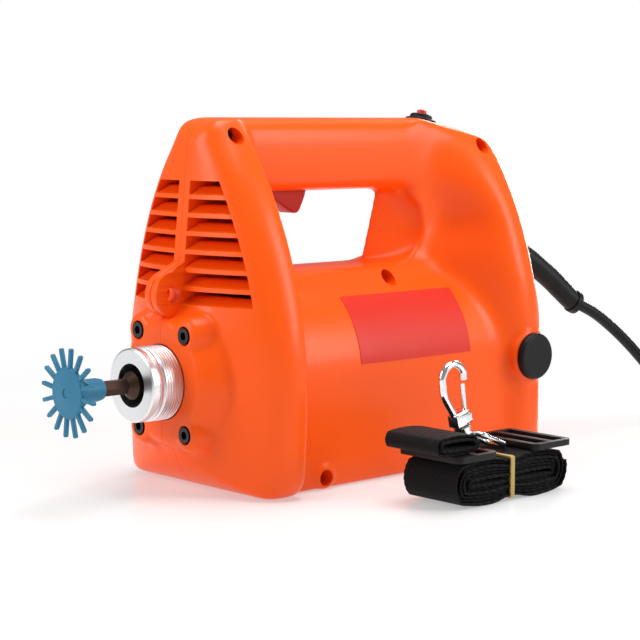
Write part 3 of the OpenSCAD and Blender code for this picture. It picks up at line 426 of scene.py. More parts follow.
# %% Finishes of the machine
orange = moulded("orange plastic", (0.98, 0.1, 0.003), 0.34, 0.02, gloss=0.06)
plate_red = moulded("plate film", srgb("d83020"), 0.44, 0.03, gloss=0.04)
star_blue = moulded("blue plastic", srgb("2c7291"), 0.4, 0.06)
# The trigger is moulded in the casing's orange-red; its colour is darkened here as painted shade, for the
# shadow under the grip.
trigger_orange_in_painted_shade = moulded("trigger plastic", srgb("a81e04"), 0.46, 0.06)
button_red = moulded("button plastic", srgb("d8281c"), 0.34, 0.04, gloss=0.2)
satin_black = moulded("satin black plastic", srgb("0b0c0d"), 0.48, 0.1, grain=0.12)
cable_black = moulded("cable jacket", srgb("0c0d0e"), 0.5, 0.12, grain=0.08)
seal_black = moulded("seal rubber", srgb("18181a"), 0.55, 0.12, grain=0.1)
pale_plastic = moulded("pale plastic", srgb("dcdcd6"), 0.4, 0.04)
carbon = moulded("pressed carbon", srgb("2a2a2c"), 0.6, 0.2, grain=0.2)
band_tan = moulded("band rubber", srgb("b59a5a"), 0.5, 0.12, grain=0.1)
aluminium = metal("turned aluminium", (0.83, 0.84, 0.85), 0.3, (1, 40, 1), 0.08)
dark_steel = metal("heat darkened steel", srgb("4c3a32"), 0.42, (30, 1, 30), 0.2)
bearing_steel = metal("ground steel", (0.62, 0.63, 0.65), 0.28)
black_steel = metal("oxidised steel", (0.055, 0.055, 0.06), 0.4, scratch=0.15)
core_steel = metal("lamination edges", (0.35, 0.36, 0.38), 0.45, (1, 30, 1), 0.2)
copper = metal("varnished copper", (0.62, 0.3, 0.14), 0.36, (12, 1, 12), 0.3)
brass = metal("drawn brass", (0.72, 0.52, 0.22), 0.32, (1, 20, 1), 0.1)
chrome = metal("polished chrome", (0.82, 0.83, 0.85), 0.12, scratch=0.03)
print("finishes", len(bpy.data.materials))

# %% [markdown]
# The inner pieces keep their CAD shapes. They only show through the louvres, but each gets the
# finish of what it is made of.

# %% Finishes on the CAD nodes that stay
cad_finishes = {
    black_steel: ["case_screws", "flange_screws"],
    bearing_steel: ["front_bearing", "rear_bearing", "armature_shaft", "trigger_pin", "clamp_screws",
                    "brush_springs", "hook_pin"],
    seal_black: ["shaft_seal", "bearing_cup"],
    dark_steel: ["drive_spindle"],
    core_steel: ["armature_core", "stator_core"],
    copper: ["armature_winding", "commutator", "field_coils"],
    brass: ["brush_holders"],
    carbon: ["carbon_brushes"],
    satin_black: ["cooling_fan", "fan_baffle", "switch_body", "breaker_body", "cable_clamp", "coil_tie"],
    pale_plastic: ["switch_plunger"],
    cable_black: ["inner_lead"],
    chrome: ["plug_pins"],
}
for finish, names in cad_finishes.items():
    for name in names:
        nodes[name].data.materials.clear()
        nodes[name].data.materials.append(finish)
print("CAD nodes shown as they are", sum(len(n) for n in cad_finishes.values()))

# %% [markdown]
# ## The cable
# The lead leaves a long rubber boot at the back, falls to the floor and goes out of the picture.
# The rest of its length is put away as a neat coil of two layers just outside the view, and the
# plug lies beside it. One open curve carries the whole length, because a curve keeps its route and
# its thickness apart, where a swept mesh would mix them.

# %% Cable, boot and plug
CABLE_D = 8.5
lead_points = [(22, 225, 98.3), (26, 241, 90), (29, 257, 79), (32, 273, 66), (34, 289, 52), (36, 304, 38),
               (38, 319, 25.5), (39, 333, 15.5), (40, 347, 9), (40, 361, 6.2), (40, 366, 5.75)]
coil_middle, coil_out, coil_turns = (105, 375), 65, 3
coil_pitch, coil_layer, coil_low, plug_z = CABLE_D + 0.7, CABLE_D + 0.6, 5.75, 18
coil_end = 2 * coil_turns + 0.5


def ease(s):
    s = min(1, max(0, s))
    return s * s * (3 - 2 * s)


def coil_point(u):
    """A point of the coil, u turns from its start."""
    radius = coil_out - coil_pitch * min(u, coil_end - u)
    angle = math.pi - 2 * math.pi * u
    height = (coil_low + coil_layer * ease((u - coil_turns) * 2)
              + (plug_z - coil_low - coil_layer) * ease((u - coil_end + 0.25) * 4))
    return (coil_middle[0] + radius * math.cos(angle), coil_middle[1] + radius * math.sin(angle), height)


coil_points = [coil_point(k / 40) for k in range(int(coil_end * 40) + 1)]
plug_at = (coil_middle[0] + coil_out, coil_middle[1] - CABLE_D, plug_z)
route = np.vstack([smooth_path(lead_points, 5)[:-1], lead_points[-1:], coil_points, [plug_at]])
cable = wire("cable", route, CABLE_D / 2, sides=5)
fit_out(cable, "casing", "cable_rubber", cable_black, "cable_lead", "cable_coil")

boot_line = smooth_path([(0, 134, 152), (0, 141, 152), (0, 147, 151.6), (1, 154, 150), (3, 166, 145),
                         (6, 178, 137.5), (10, 190, 128.5), (14, 202, 118.5), (17.5, 211, 109.5),
                         (20.6, 219.5, 101.2), (22, 225, 98.3)], 1.0)
boot_run = np.linspace(0, 1, len(boot_line))
boot = joined("boot", [as_mesh(wire("sleeve", boot_line, 1, 9.3 - 1.5 * boot_run, sides=9)),
                       as_mesh(wire("lip", boot_line[-6:-1], 8.9, sides=9))])
smooth(boot, 50)
fit_out(boot, "casing", "cable_rubber", cable_black, "cable_boot")

plug_profile = [(0, 0), (5.4, 0), (6.2, 1), (6.4, 3), (5.6, 3.6), (5.6, 5), (6.8, 5.6), (6.8, 8), (6.0, 8.6),
                (6.0, 10), (7.6, 10.6), (8.0, 14), (11, 19), (15, 24), (17.2, 29), (18, 33), (18, 43.5),
                (17.6, 45), (16.4, 46), (0, 46)]
plug = placed(turned("plug", plug_profile, 72), plug_at, ALONG_Y)
smooth(plug, 30)
fit_out(plug, "casing", "black_plastic", satin_black, "plug_body")

# %% [markdown]
# ## The casing's skin
# The casing is drawn as its designer would, from a few outlines. Seen from the front, each end is
# a bell. Seen from above, it is bowed, with round corners. Sculpting could give such a form too,
# but outlines keep it in step with the CAD casing. All lengths here are millimetres.

# %% Outlines of the casing
# Stations along the machine, from its front to its rear.
FRONT, STEP, FOOT, POST, FLARE, REAR = -148, -101, 33, 49, 114, 148
# Heights of the motor's axis, of the hand opening's floor and roof, and of the top.
AXIS_Z, DECK, GRIP, TOP = 72, 140, 191, 240
# Half widths, and the radii round the sole.
FRONT_HALF, BARREL_HALF, REAR_HALF, GRIP_HALF = 82, 63, 73, 21.5
FRONT_SOLE, REAR_SOLE = 15, 10
# For each bell: where it starts to lean in, its half width at the top, and its end's lean.
FRONT_SHOULDER, FRONT_TOP, FRONT_LEAN = 60, 16, 0.1
REAR_SHOULDER, REAR_TOP, REAR_LEAN = 85, 20, 0.17
LEAN_FROM = 100
# Radii of an end's bow and corners, seen from above.
BOW, CORNER = 150, 22


def bell(half, top_half, shoulder, sole, z):
    """Half the width at height z: rounded at the sole, upright, then leaning in on one long arc."""
    if z < sole:
        return half - sole + math.sqrt(max(0, sole * sole - (sole - z) ** 2))
    r = ((TOP - shoulder) ** 2 + (half - top_half) ** 2) / (2 * (half - top_half))
    return half - r + math.sqrt(r * r - max(0, z - shoulder) ** 2)


def front_bell(z):
    """The front's bell, drawn in a little towards the sole."""
    return bell(FRONT_HALF, FRONT_TOP, FRONT_SHOULDER, FRONT_SOLE, z) - 4 * max(0, 1 - z / 70) ** 1.5


def front_lean(z):
    return FRONT_LEAN * max(0, z - LEAN_FROM)


def bowed_end(half, end, way, inset):
    """Half of a bowed end seen from above, from its middle to its side."""
    corner = min(CORNER, 0.8 * half)
    middle = end - way * BOW
    x = half - corner
    y = middle + way * math.sqrt((BOW - corner) ** 2 - x * x)
    turn = math.degrees(math.atan2(y - middle, x))
    return (arc((0, middle), BOW - inset, way * 90, turn, 14)
            + arc((x, y), corner - inset, turn, 0, 14)[1:])


def both_sides(side):
    """An outline from the half of it on one side."""
    return side + [(-x, y) for x, y in reversed(side) if x > 1e-6]


def heights(sole, inset):
    """Heights of the rings, closer together round the sole."""
    low = [inset + (sole - inset) * (1 - math.cos(t)) for t in np.linspace(0, math.pi / 2, 9)]
    return low + list(np.linspace(sole + 8, TOP - inset, 36))


print("half widths of the front at 20, 120 and 220 mm", [round(front_bell(z)) for z in (20, 120, 220)])

# %% [markdown]
# Four sections make the casing: a deep front, the motor barrel, the grip, and a rear that flares
# out of the post. The two ends are skins stretched over rings, one ring for each height, and then
# cut to the side view. Each section can be drawn smaller by an inset, for the hollow inside.

# %% Sections of the casing
# The rear's waist beside the hand opening: its height, how far it reaches up and down, its depth.
WAIST_Z, WAIST_REACH, WAIST_DEPTH = 170, 30, 20


def front_section(inset):
    rings = []
    for z in heights(FRONT_SOLE, inset):
        half = front_bell(z)
        rear = arc((half - 7, STEP - 7), 7 - inset, 0, 90, 6)
        plan = both_sides(bowed_end(half, FRONT + front_lean(z), -1, inset) + rear)
        rings.append([(x, y, z) for x, y in plan])
    side = ([(STEP + 9, inset)] + arc((FRONT + 30, 30), 30 - inset, 270, 180, 12)
            + [(FRONT + inset, LEAN_FROM)]
            + arc((FRONT + 32, TOP - 20), 20 - inset, 180, 90, 10) + [(STEP + 9, TOP - inset)])
    return combine(lofted("front section", rings), prism("side", side, "X", -120, 120), "INTERSECT")


def barrel(inset):
    side = ([(BARREL_HALF - inset, inset)]
            + [((BARREL_HALF - inset) * math.cos(t), AXIS_Z + (66 - inset) * math.sin(t))
               for t in np.radians(np.linspace(0, 60, 24))]
            + arc((22, DECK - 8), 8 - inset, 0, 90, 8))
    return prism("barrel", both_sides(side), "Y", STEP - 20, 105)


def grip(inset):
    outline = rounded_box(-GRIP_HALF + inset, GRIP + inset, GRIP_HALF - inset, TOP - inset, 12 - inset, 10)
    return prism("grip", outline, "Y", STEP - 16, POST + 6)


def rear_section(inset):
    rings = []
    for z in heights(REAR_SOLE, inset):
        half = bell(REAR_HALF, REAR_TOP, REAR_SHOULDER, REAR_SOLE, z)
        start = POST + WAIST_DEPTH * ease(1 - abs(z - WAIST_Z) / WAIST_REACH)
        flare = [(GRIP_HALF + (half - GRIP_HALF) * ease(s) - inset, start + (FLARE - start) * s)
                 for s in np.linspace(0, 1, 25)]
        plan = [(GRIP_HALF - inset, FOOT + inset)] + flare + bowed_end(half, REAR, 1, inset)[-2::-1]
        lean = REAR_LEAN * max(0, z - LEAN_FROM)
        rings.append([(x, y - lean * ease((y - POST) / 99), z) for x, y in both_sides(plan)])
    side = ([(FOOT + inset, inset)] + arc((REAR - 20, 20), 20 - inset, 270, 360, 8)
            + [(REAR - inset, LEAN_FROM)]
            + arc((REAR - 42, TOP - 33), 22 - inset, 0, 82, 10)
            + [(60, TOP - inset), (POST + inset, TOP - inset), (POST + inset, GRIP), (FOOT + inset, DECK)])
    return combine(lofted("rear section", rings), prism("side", side, "X", -120, 120), "INTERSECT")


# %% [markdown]
# The rear post of the hand opening is scooped out on both sides, so that fingers slide round it.
# It keeps a straight leaning ridge on the seam. The ridge is a block put in front of the post, and
# each scoop is a skin that opens from the ridge's straight edge to a round end at the side. A ball
# could cut the hollow too, but it would bend the ridge.

# %% Post of the hand opening
# How far the ridge stands before the foot of the post, and half its width.
RIDGE_LEAD, RIDGE_HALF = 18, 11.5
# The scoop's middle height and half height, its deepest station, and its depth above and below.
SCOOP_Z, SCOOP_RISE, SCOOP_END, SCOOP_ABOVE, SCOOP_BELOW = 165.5, 24.5, 57, 38, 30


def post_ridge():
    """The foremost edge of the rear post, a leaning ridge on the seam."""
    back = POST + 20
    side = [(FOOT - RIDGE_LEAD, DECK - 6), (POST - 16, GRIP + 6), (back, GRIP + 6), (back, DECK - 6)]
    return prism("ridge", side, "X", -RIDGE_HALF, RIDGE_HALF)


def scoop(way):
    """The hollow on one side of the post: a straight edge at the seam that opens to a round end."""
    rings = []
    for share in np.linspace(0, 1.3, 14):
        ring = [(-40, DECK + 1.5), (-40, GRIP - 1)]
        for t in np.linspace(math.pi / 2, -math.pi / 2, 21):
            z = SCOOP_Z + SCOOP_RISE * math.sin(t)
            edge = FOOT - RIDGE_LEAD + (z - DECK) * (POST - FOOT) / (GRIP - DECK)
            depth = math.sin(min(share, 1) * math.pi / 2)
            start = SCOOP_ABOVE if t > 0 else SCOOP_BELOW
            ring.append((edge + (start + (SCOOP_END - start) * math.cos(t) - edge) * depth, z))
        rings.append([(way * (share * GRIP_HALF - 0.01), y, z) for y, z in ring])
    return lofted("scoop", rings)


# %% [markdown]
# A voxel remesh melts the sections into one skin of even squares, and relaxing it gives the soft
# joins of a moulding. Bevels would have to be set join by join, and fail where curved faces meet.
# The ridge, the scoops and the front come after the first melt, so their edges stay crisper.

# %% Melt the skin
def melted(piece, voxel, rounds):
    """Melts a piece's parts into one skin of even squares and relaxes it."""
    add_modifier(piece, "REMESH", mode="VOXEL", voxel_size=voxel * MM)
    return add_modifier(piece, "SMOOTH", factor=0.5, iterations=rounds)


skin = rear_section(0)
combine(skin, barrel(0), "UNION")
combine(skin, grip(0), "UNION")
melted(skin, 3, 30)
combine(skin, post_ridge(), "UNION")
for way in (-1, 1):
    combine(skin, scoop(way), "DIFFERENCE")
front_skin = melted(front_section(0), 2.5, 10)
combine(skin, front_skin, "UNION")
print("skin before its fittings", len(skin.data.polygons))

# %% [markdown]
# The fittings of the moulding come next: the raised pad round the nose with its four ears, the
# round seats of the brush covers and the screw bosses at the sole. They are joined to the skin
# before a last fine remesh, so that they grow out of it with small fillets.

# %% Pad, seats and bosses
SCREWS = [(-116, 228), (104, 220), (13, 131), (-74, 8), (104, 8)]
BRUSH_Y = 116
FLANGE_SCREWS = [(x, AXIS_Z + z) for x in (-24, 24) for z in (-31.5, 31.5)]
pad = [(0, 158.4), (37.5, 158.4), (40, 156.5), (44, 150), (49, 144), (51, 126), (0, 126)]
combine(skin, placed(turned("pad", pad, 96), (0, 0, AXIS_Z), ALONG_Y), "UNION")
ear = [(0, 158.4), (9, 158.4), (11, 156.5), (14, 147), (15, 126), (0, 126)]
for x, z in FLANGE_SCREWS:
    combine(skin, placed(turned("ear", ear, 48), (x, 0, z), ALONG_Y), "UNION")
for way in (-1, 1):
    combine(skin, rod("seat", 18.4, "X", *sorted((way * 40, way * 73.2)), BRUSH_Y, AXIS_Z), "UNION")
    for y, z in SCREWS[3:]:
        combine(skin, rod("boss", 7.8, "X", *sorted((way * 20, way * 64.5)), y, z), "UNION")
melted(skin, 1.8, 5)
print("skin", len(skin.data.polygons), "faces")

# %% [markdown]
# The hollow is drawn from the same outlines, moved in by a little more than the wall, so the
# rounded skin never gets thin. A Solidify modifier would print every fitting on the inside. Columns
# for the screws, the scooped post and the thick wall behind the grille are left standing.

# %% Hollow
INSET = 4.4
hollow = rear_section(INSET)
for part in (barrel(INSET), grip(INSET), front_section(INSET)):
    combine(hollow, part, "UNION")
post = [(-20, DECK - 5), (72, DECK - 5), (72, GRIP + 5), (-20, GRIP + 5)]
combine(hollow, prism("post", post, "X", -90, 90), "DIFFERENCE")
for y, z in SCREWS:
    combine(hollow, rod("column", 7.5, "X", -90, 90, y, z), "DIFFERENCE")
grille = [(-160, 113), (-126, 113), (-115, 211), (-160, 211)]
combine(hollow, prism("grille", grille, "X", -90, 90), "DIFFERENCE")
for way in (-1, 1):
    combine(hollow, rod("seat", 18, "X", *sorted((way * 40, way * 90)), BRUSH_Y, AXIS_Z), "DIFFERENCE")
print("hollow", len(hollow.data.polygons), "faces")

# %% [markdown]
# Every opening is a cutter, made once and used on both halves. A louvre slopes up inside, so that
# rain and splashes run out, and its outer end follows the bell. The slots in the rear wall, the
# screw holes and the holes for the controls are plain bars and prisms.

# %% Openings
LOUVRES, LOUVRE_LOW, LOUVRE_PITCH = 7, 126, 11.6
LOUVRE_BAR, LOUVRE_EDGE = 5.5, 14
LUG_EYE = (-152, 128)
BREAKER = (0, 75, 236.97)
ON_SLOPE = (-math.degrees(math.asin(-joints["reset_press"]["axis"][1])), 0, 0)
cutters = [rod("nose hole", 24.6, "Y", -160, -120, 0, AXIS_Z, 96)]
for x, z in FLANGE_SCREWS:
    cutters.append(rod("screw hole", 6.2, "Y", -162, -153, x, z))


def louvre(z, way):
    """One slot of the grille: its floor slopes up inside and its outer end follows the bell."""
    front = FRONT + front_lean(z)
    rings = []
    for share in np.linspace(0, 1, 11):
        ring = []
        for y, lift in [(-20, -4.5), (0, -4.5), (8.5, 0.6), (30, 0.6), (30, 4.3), (-20, 4.3)]:
            x = LOUVRE_BAR + share * (front_bell(z + lift) - LOUVRE_EDGE - LOUVRE_BAR)
            ring.append((way * x, front + y + BOW - math.sqrt(BOW ** 2 - x * x), z + lift))
        rings.append(ring)
    return lofted("louvre", rings)


for k in range(LOUVRES):
    cutters += [louvre(LOUVRE_LOW + LOUVRE_PITCH * k, way) for way in (-1, 1)]
for z in (17, 27, 114, 124):
    slot = rounded_box(13, z - 3.5, 46, z + 3.5, 3, 4)
    cutters.append(prism("inlet", slot, "Y", 120, 152))
    cutters.append(prism("inlet", [(-x, y) for x, y in slot], "Y", 120, 152))
for y, z in SCREWS:
    cutters.append(rod("sink", 5.5, "X", 12, 90, y, z))
for way in (-1, 1):
    cutters.append(rod("cover hole", 10.05, "X", *sorted((way * 35, way * 80)), BRUSH_Y, AXIS_Z))
cutters.append(prism("trigger slot", rounded_box(-8.6, -96, 8.6, -40, 2, 4), "Z", 184, 200))
cutters.append(rod("boot hole", 9.4, "Y", 126, 152, 0, 152))
cutters.append(rod("strap eye", 5.5, "X", -9, 9, *LUG_EYE))
cutters.append(placed(rod("breaker hole", 5.7, "Z", -12, 12, 0, 0), BREAKER, ON_SLOPE))
cutters.append(placed(rod("breaker seat", 11.4, "Z", -0.2, 12, 0, 0), BREAKER, ON_SLOPE))
print("cutters", len(cutters))

# %% [markdown]
# The skin is cut along the seam into its two halves, then hollowed and opened. Each half keeps a
# hair's width from the seam, which shows as the fine parting line of the moulding. Each gets its
# half of the strap lug, a rounded tab in front of the grille.

# %% Casing halves
SEAM = 0.12


def casing_half(name, way):
    half = take(copied(skin, name))
    bpy.ops.object.mode_set(mode="EDIT")
    bpy.ops.mesh.select_all(action="SELECT")
    bpy.ops.mesh.bisect(plane_co=(way * SEAM * MM, 0, 0), plane_no=(way, 0, 0),
                        use_fill=True, clear_inner=True)
    bpy.ops.object.mode_set(mode="OBJECT")
    combine(half, hollow, "DIFFERENCE", keep=True)
    outline = arc(LUG_EYE, 14.4, 117, 270, 24) + [(-134, 113.6), (-134, 153)]
    tab = prism("lug", outline, "X", *sorted((way * SEAM, way * 6.2)))
    bevelled(tab, 1.2)
    combine(half, tab, "UNION")
    for cutter in cutters:
        combine(half, cutter, "DIFFERENCE", keep=True)
    return smooth(half, 40)


for name, way in (("left", 1), ("right", -1)):
    half = casing_half(name + " half", way)
    half.name = name + "_casing"
    fit_out(half, "casing", "orange_shell", orange, name + "_shell", name + "_lug")
    print(half.name, len(half.data.polygons), "faces")

# %% [markdown]
# ## The rating plate
# A thin red film follows the barrel's curve. A flat plate would sink into the barrel or stand off
# it, so a fine grid is projected onto the skin and given a film's thickness.

# %% Rating plate
clear_selection()
bpy.ops.mesh.primitive_grid_add(x_subdivisions=60, y_subdivisions=28, size=1)
film = bpy.context.object
film.name = "rating_film"
for vertex in film.data.vertices:
    vertex.co = (0.09, (10.5 + 104 * vertex.co.x) * MM, (100.5 + 43 * vertex.co.y) * MM)
FILM_T = 0.4 * MM
add_modifier(film, "SHRINKWRAP", target=skin, wrap_method="PROJECT", use_project_x=True,
             use_project_y=False, use_project_z=False, use_negative_direction=True,
             use_positive_direction=True, offset=FILM_T)
add_modifier(film, "SOLIDIFY", thickness=FILM_T, offset=-1)
smooth(film, 40)
fit_out(film, "casing", "plate_film", plate_red, "rating_plate")
remove(skin, hollow, *cutters)
print("film", len(film.data.polygons), "faces")

# %% [markdown]
# ## Nose and star
# The nose is a turned aluminium collar with a fine thread, a groove and a smooth front band. The
# profile is drawn tooth by tooth and spun: closed rings look like a thread at this pitch, and stay
# watertight where a helix has to be closed by hand. Behind the pad its flange holds the bearing.

# %% Nose
PITCH, TEETH = 2, 7
thread = []
for station in [-159.0 - PITCH * k for k in range(TEETH)]:
    thread += [(24.0, station), (24.0, station - 0.7), (22.9, station - 1.2), (22.9, station - 1.5)]
nose_profile = ([(14, -182), (16.4, -182), (22.4, -182), (23.6, -181.2), (23.8, -177.6), (22.6, -177.2),
                 (22.6, -175.8), (23.8, -175.2)] + thread[::-1] + [(24, -158.6), (23.5, -158.4), (23.5, -149),
                 (27, -149), (27, -131), (20, -131), (20, -143), (14, -143), (14, -182)])
nose = placed(turned("nose", [(r, -y) for r, y in nose_profile], 144), (0, 0, AXIS_Z), ALONG_Y)
flange = prism("flange", rounded_box(-32.5, AXIS_Z - 40, 32.5, AXIS_Z + 40, 8.5), "Y", -150, -141)
combine(flange, rod("bore", 26.95, "Y", -152, -139, 0, AXIS_Z, 144), "DIFFERENCE")
nose = joined("nose_collar", [nose, flange])
smooth(nose, 28)
fit_out(nose, "casing", "cast_aluminium", aluminium, "nose_flange")
print("nose", len(nose.data.polygons), "faces")

# %% [markdown]
# The star is a push-on blue moulding: a thin disc with a shallow dimple, square spokes round its
# rim and a ribbed hub behind. One spoke and one rib are modelled and copied round.

# %% Star
STAR_AT = (0, -229, AXIS_Z)
SPOKES, SPOKE_START, RIBS = 16, 7.6, 4
disc_profile = [(0, 1.9), (2.6, 1.9), (3, 2.6), (4.2, 2.6), (7, 2.2), (15.4, 1.6), (16.2, 0.9), (16.2, -1.2),
                (15.6, -1.6), (7.5, -2), (7.4, -20), (6.6, -23.6), (6, -24), (5.4, -24), (5.4, -2), (0, -2)]
spoke_outline = [(-1.35, 14.5), (1.35, 14.5), (1.3, 27.2), (0.7, 28), (-0.7, 28), (-1.3, 27.2)]
rib_outline = [(6.5, -1), (15, -1), (7.2, -12), (6.5, -12)]
star_parts = [placed(turned("disc", disc_profile, 96), STAR_AT, ALONG_Y)]
spoke = add_modifier(prism("spoke", spoke_outline, "Z", -1.3, 1.3), "BEVEL", width=0.4 * MM, segments=2)
for k in range(SPOKES):
    twin = placed(copied(spoke, "spoke"), (0, 0, 0), (90, SPOKE_START + 360 / SPOKES * k, 0))
    star_parts.append(placed(twin, STAR_AT))
rib = placed(prism("rib", rib_outline, "Y", -0.8, 0.8), (0, 0, 0), ALONG_Y)
for k in range(RIBS):
    twin = placed(copied(rib, "rib"), (0, 0, 0), (0, 45 + 360 / RIBS * k, 0))
    star_parts.append(placed(twin, STAR_AT))
remove(spoke, rib)
star = joined("push_on_star", star_parts)
smooth(star, 30)
fit_out(star, "star", "blue_plastic", star_blue, "drive_star")
print("star", len(star.data.polygons), "faces")

# %% [markdown]
# ## Trigger, breaker and brush covers
# The trigger is a curved lever under the grip, sawn from its side view: round at the pivot, then
# dipping to the fingertip. It is as thick all along, so one prism is enough, and its edges are
# bevelled for the hand. The pivot comes from the frame's joint.

# %% Trigger
PIVOT = [v / MM for v in joints["trigger_pull"]["pos_m"][1:]]
trigger_outline = (arc(PIVOT, 5, 60, 262, 10)
                   + [(-80, 191.4), (-72, 187), (-64, 183), (-58, 179.4)]
                   + arc((-50.6, 181), 4.6, 235, 330, 8)
                   + [(-44, 183.6), (-42, 188), (-40.4, 194), (-39.4, 200), (-42, 203), (-58, 204.1)])
trigger = prism("trigger_lever", trigger_outline, "X", -8, 8)
bevelled(trigger, 1.4)
smooth(trigger, 40)
# Its finish holds painted shade: the casing's orange-red, darkened for the shadow under the grip.
fit_out(trigger, "trigger_lever", "red_plastic", trigger_orange_in_painted_shade, "trigger")
print("trigger", len(trigger.data.polygons), "faces")

# %% [markdown]
# The breaker is a black ring nut with a red reset button, on the slope behind the grip. The brush
# covers are satin discs with a rounded rim and a spigot into the casing. All of them are lathe
# pieces, turned about Z and then laid in their places.

# %% Breaker and covers
ring_profile = [(5.6, 0), (10.6, 0), (11.2, 0.5), (11.2, 1.4), (10.6, 2), (8.6, 2.4), (8.2, 2.8), (8, 4.4),
                (7.2, 5.2), (5.6, 5.2), (5.6, 0)]
ring = placed(turned("breaker_ring", ring_profile, 72), BREAKER, ON_SLOPE)
smooth(ring, 35)
fit_out(ring, "casing", "black_plastic", satin_black, "breaker_nut")
button_profile = [(0, -3.5), (3.5, -3.5), (3.5, 7.6)] + arc((2.6, 7.6), 0.9, 0, 90, 5) + [(0, 8.5)]
button = placed(turned("breaker_button", button_profile, 48), BREAKER, ON_SLOPE)
smooth(button, 35)
fit_out(button, "reset", "red_plastic", button_red, "reset_button")

cover_profile = ([(0, -8), (9.6, -8), (9.6, 0), (16.2, 0), (16.5, 0.4), (16.5, 2.6)]
                 + arc((14.1, 2.6), 2.4, 0, 84, 8) + [(10, 5.05), (0, 5.1)])
for name, way in (("left", 1), ("right", -1)):
    cover = placed(turned(name + "_cover", cover_profile, 96),
                   (way * REAR_HALF, BRUSH_Y, AXIS_Z), (0, way * 90, 0))
    smooth(cover, 30)
    fit_out(cover, "casing", "black_plastic", satin_black, "brush_cover_" + name)
print("controls and covers made")

# %% [markdown]
# ## The strap
# The strap is one long web, wound into a flat hank and drawn in by a rubber band at its waist. A
# cloth simulation could wind it, but not twice the same. So a grid is laid along a winding line,
# which keeps its true length, and then thickened.

# %% Webbing
STRAP_X, WEB_W, WEB_T = 142, 45, 1.3
WIND_STEP = 2.5


def wound(half, core, pull, angle):
    """A point on the flat winding line, seen from its end."""
    r = core + WIND_STEP * angle / (2 * math.pi)
    u = half * min(1, max(-1, 1.5 * math.cos(angle))) + r * math.cos(angle)
    return u, r * math.sin(angle) * (1 - pull * math.exp(-(u / 14) ** 2))


def web(name, half, core, pull, turns, y, z, drift):
    """A web wound about (y, z), turns times round a flat core. drift moves each turn sideways."""
    angles = np.linspace(0, 2 * math.pi * turns, int(turns * 72) + 1)
    line = np.array([wound(half, core, pull, a) for a in angles])
    run = np.concatenate([[0], np.cumsum(np.linalg.norm(np.diff(line, axis=0), axis=1))])
    clear_selection()
    bpy.ops.mesh.primitive_grid_add(x_subdivisions=len(line) - 1, y_subdivisions=12, size=1)
    piece = bpy.context.object
    piece.name = name
    for vertex in piece.data.vertices:
        k = round((vertex.co.x + 0.5) * (len(line) - 1))
        shift = drift * math.sin(angles[k] * 0.37 + 1)
        ripple = 0.5 * math.sin(k * 2.1)
        x = STRAP_X + shift + (WEB_W + ripple) * vertex.co.y
        vertex.co = Vector((x, y + line[k][0], z + line[k][1])) * MM
    for corner in piece.data.uv_layers[0].data:
        corner.uv = (corner.uv.x * run[-1] * MM, corner.uv.y * WEB_W * MM)
    add_modifier(piece, "SOLIDIFY", thickness=(WEB_T - 0.1) * MM, offset=0)
    smooth(piece, 60)
    return piece, run[-1]


# %% [markdown]
# The weave is a checker of two sine waves, along and across the web. It uses the web's own UV map,
# which is in metres, so the threads keep their size round every turn.

# %% Weave, hank and tail
THREAD = 0.0034


def wave(side):
    turns = side * (2 * math.pi / THREAD)
    return turns.node("ShaderNodeMath", {"operation": "SINE"}, {0: turns})


f = Finish("woven web", Specular_IOR_Level=0.12, Sheen_Weight=0.08, Sheen_Roughness=0.4)
flat = f.root.node("ShaderNodeTexCoord", out=2)
along = f.root.node("ShaderNodeSeparateXYZ", None, {0: flat})
across = Wire(f.tree, along.socket.node.outputs[1])
weave = wave(along) * wave(across) * 0.5 + 0.5
fuzz = f.noise(0.0008, 3)
f.feed("Base Color", f.mix(weave * 0.7 + fuzz * 0.3, srgb("030303"), srgb("111112")))
f.feed("Roughness", 0.66 + fuzz * 0.25)
f.bump(weave + fuzz * 0.3, 0.7, 0.0006)
web_black = f.material

hank, hank_length = web("strap_hank", half=36, core=1.4, pull=0.28, turns=6.04, y=-8, z=15.2725, drift=1.2)
fit_out(hank, "strap", "webbing", web_black, "webbing_hank")
tail, tail_length = web("strap_tail", half=12, core=2, pull=0, turns=2, y=-56, z=40.9805, drift=0.8)
fit_out(tail, "strap", "webbing", web_black, "webbing_tail")
print("web lengths", round(hank_length), round(tail_length), "mm")

# %% [markdown]
# ## Band, slides and snap hook
# The band is a flat rubber loop. The slides are three-bar plates of black plastic with rounded
# edges. Both are sawn from their outlines and then cut through. The slides lie as high as the CAD
# ones do.

# %% Band and slides
slide_heights = [vertex.co.z / MM for vertex in nodes["front_slide"].data.vertices]
slide_low, slide_high = min(slide_heights), max(slide_heights)
band = prism("band_loop", rounded_box(STRAP_X - 24, 1.6, STRAP_X + 24, 28.3, 1.4), "Y", -9.75, -6.25)
inside = rounded_box(STRAP_X - 22.8, 2.7, STRAP_X + 22.8, 26.95, 0.3)
combine(band, prism("inside", inside, "Y", -12, -4), "DIFFERENCE")
add_modifier(band, "BEVEL", width=0.3 * MM, segments=2, limit_method="ANGLE")
smooth(band, 40)
fit_out(band, "strap", "band_rubber", band_tan, "rubber_band")
for name, y in (("front_slide", -42), ("rear_slide", 28)):
    outline = rounded_box(STRAP_X - 27, y - 18, STRAP_X + 27, y + 18, 5)
    plate = prism(name + "_bar", outline, "Z", slide_low, slide_high)
    for middle in (y - 7.75, y + 7.75):
        slot = rounded_box(STRAP_X - 23, middle - 5.25, STRAP_X + 23, middle + 5.25, 1.2, 4)
        combine(plate, prism("slot", slot, "Z", 20, 40), "DIFFERENCE")
    bevelled(plate, 1)
    smooth(plate, 40)
    fit_out(plate, "strap", "black_plastic", satin_black, name)
print("band and slides made")

# %% [markdown]
# The hook is bright wire: a bent hook on a bevelled block, a sprung gate and a swivel eye. They
# are drawn in the hook's own leaning plane, which the frame's swivel joint gives. Hook, gate and
# eye are separate pieces, because the hook turns in its eye and the gate opens.

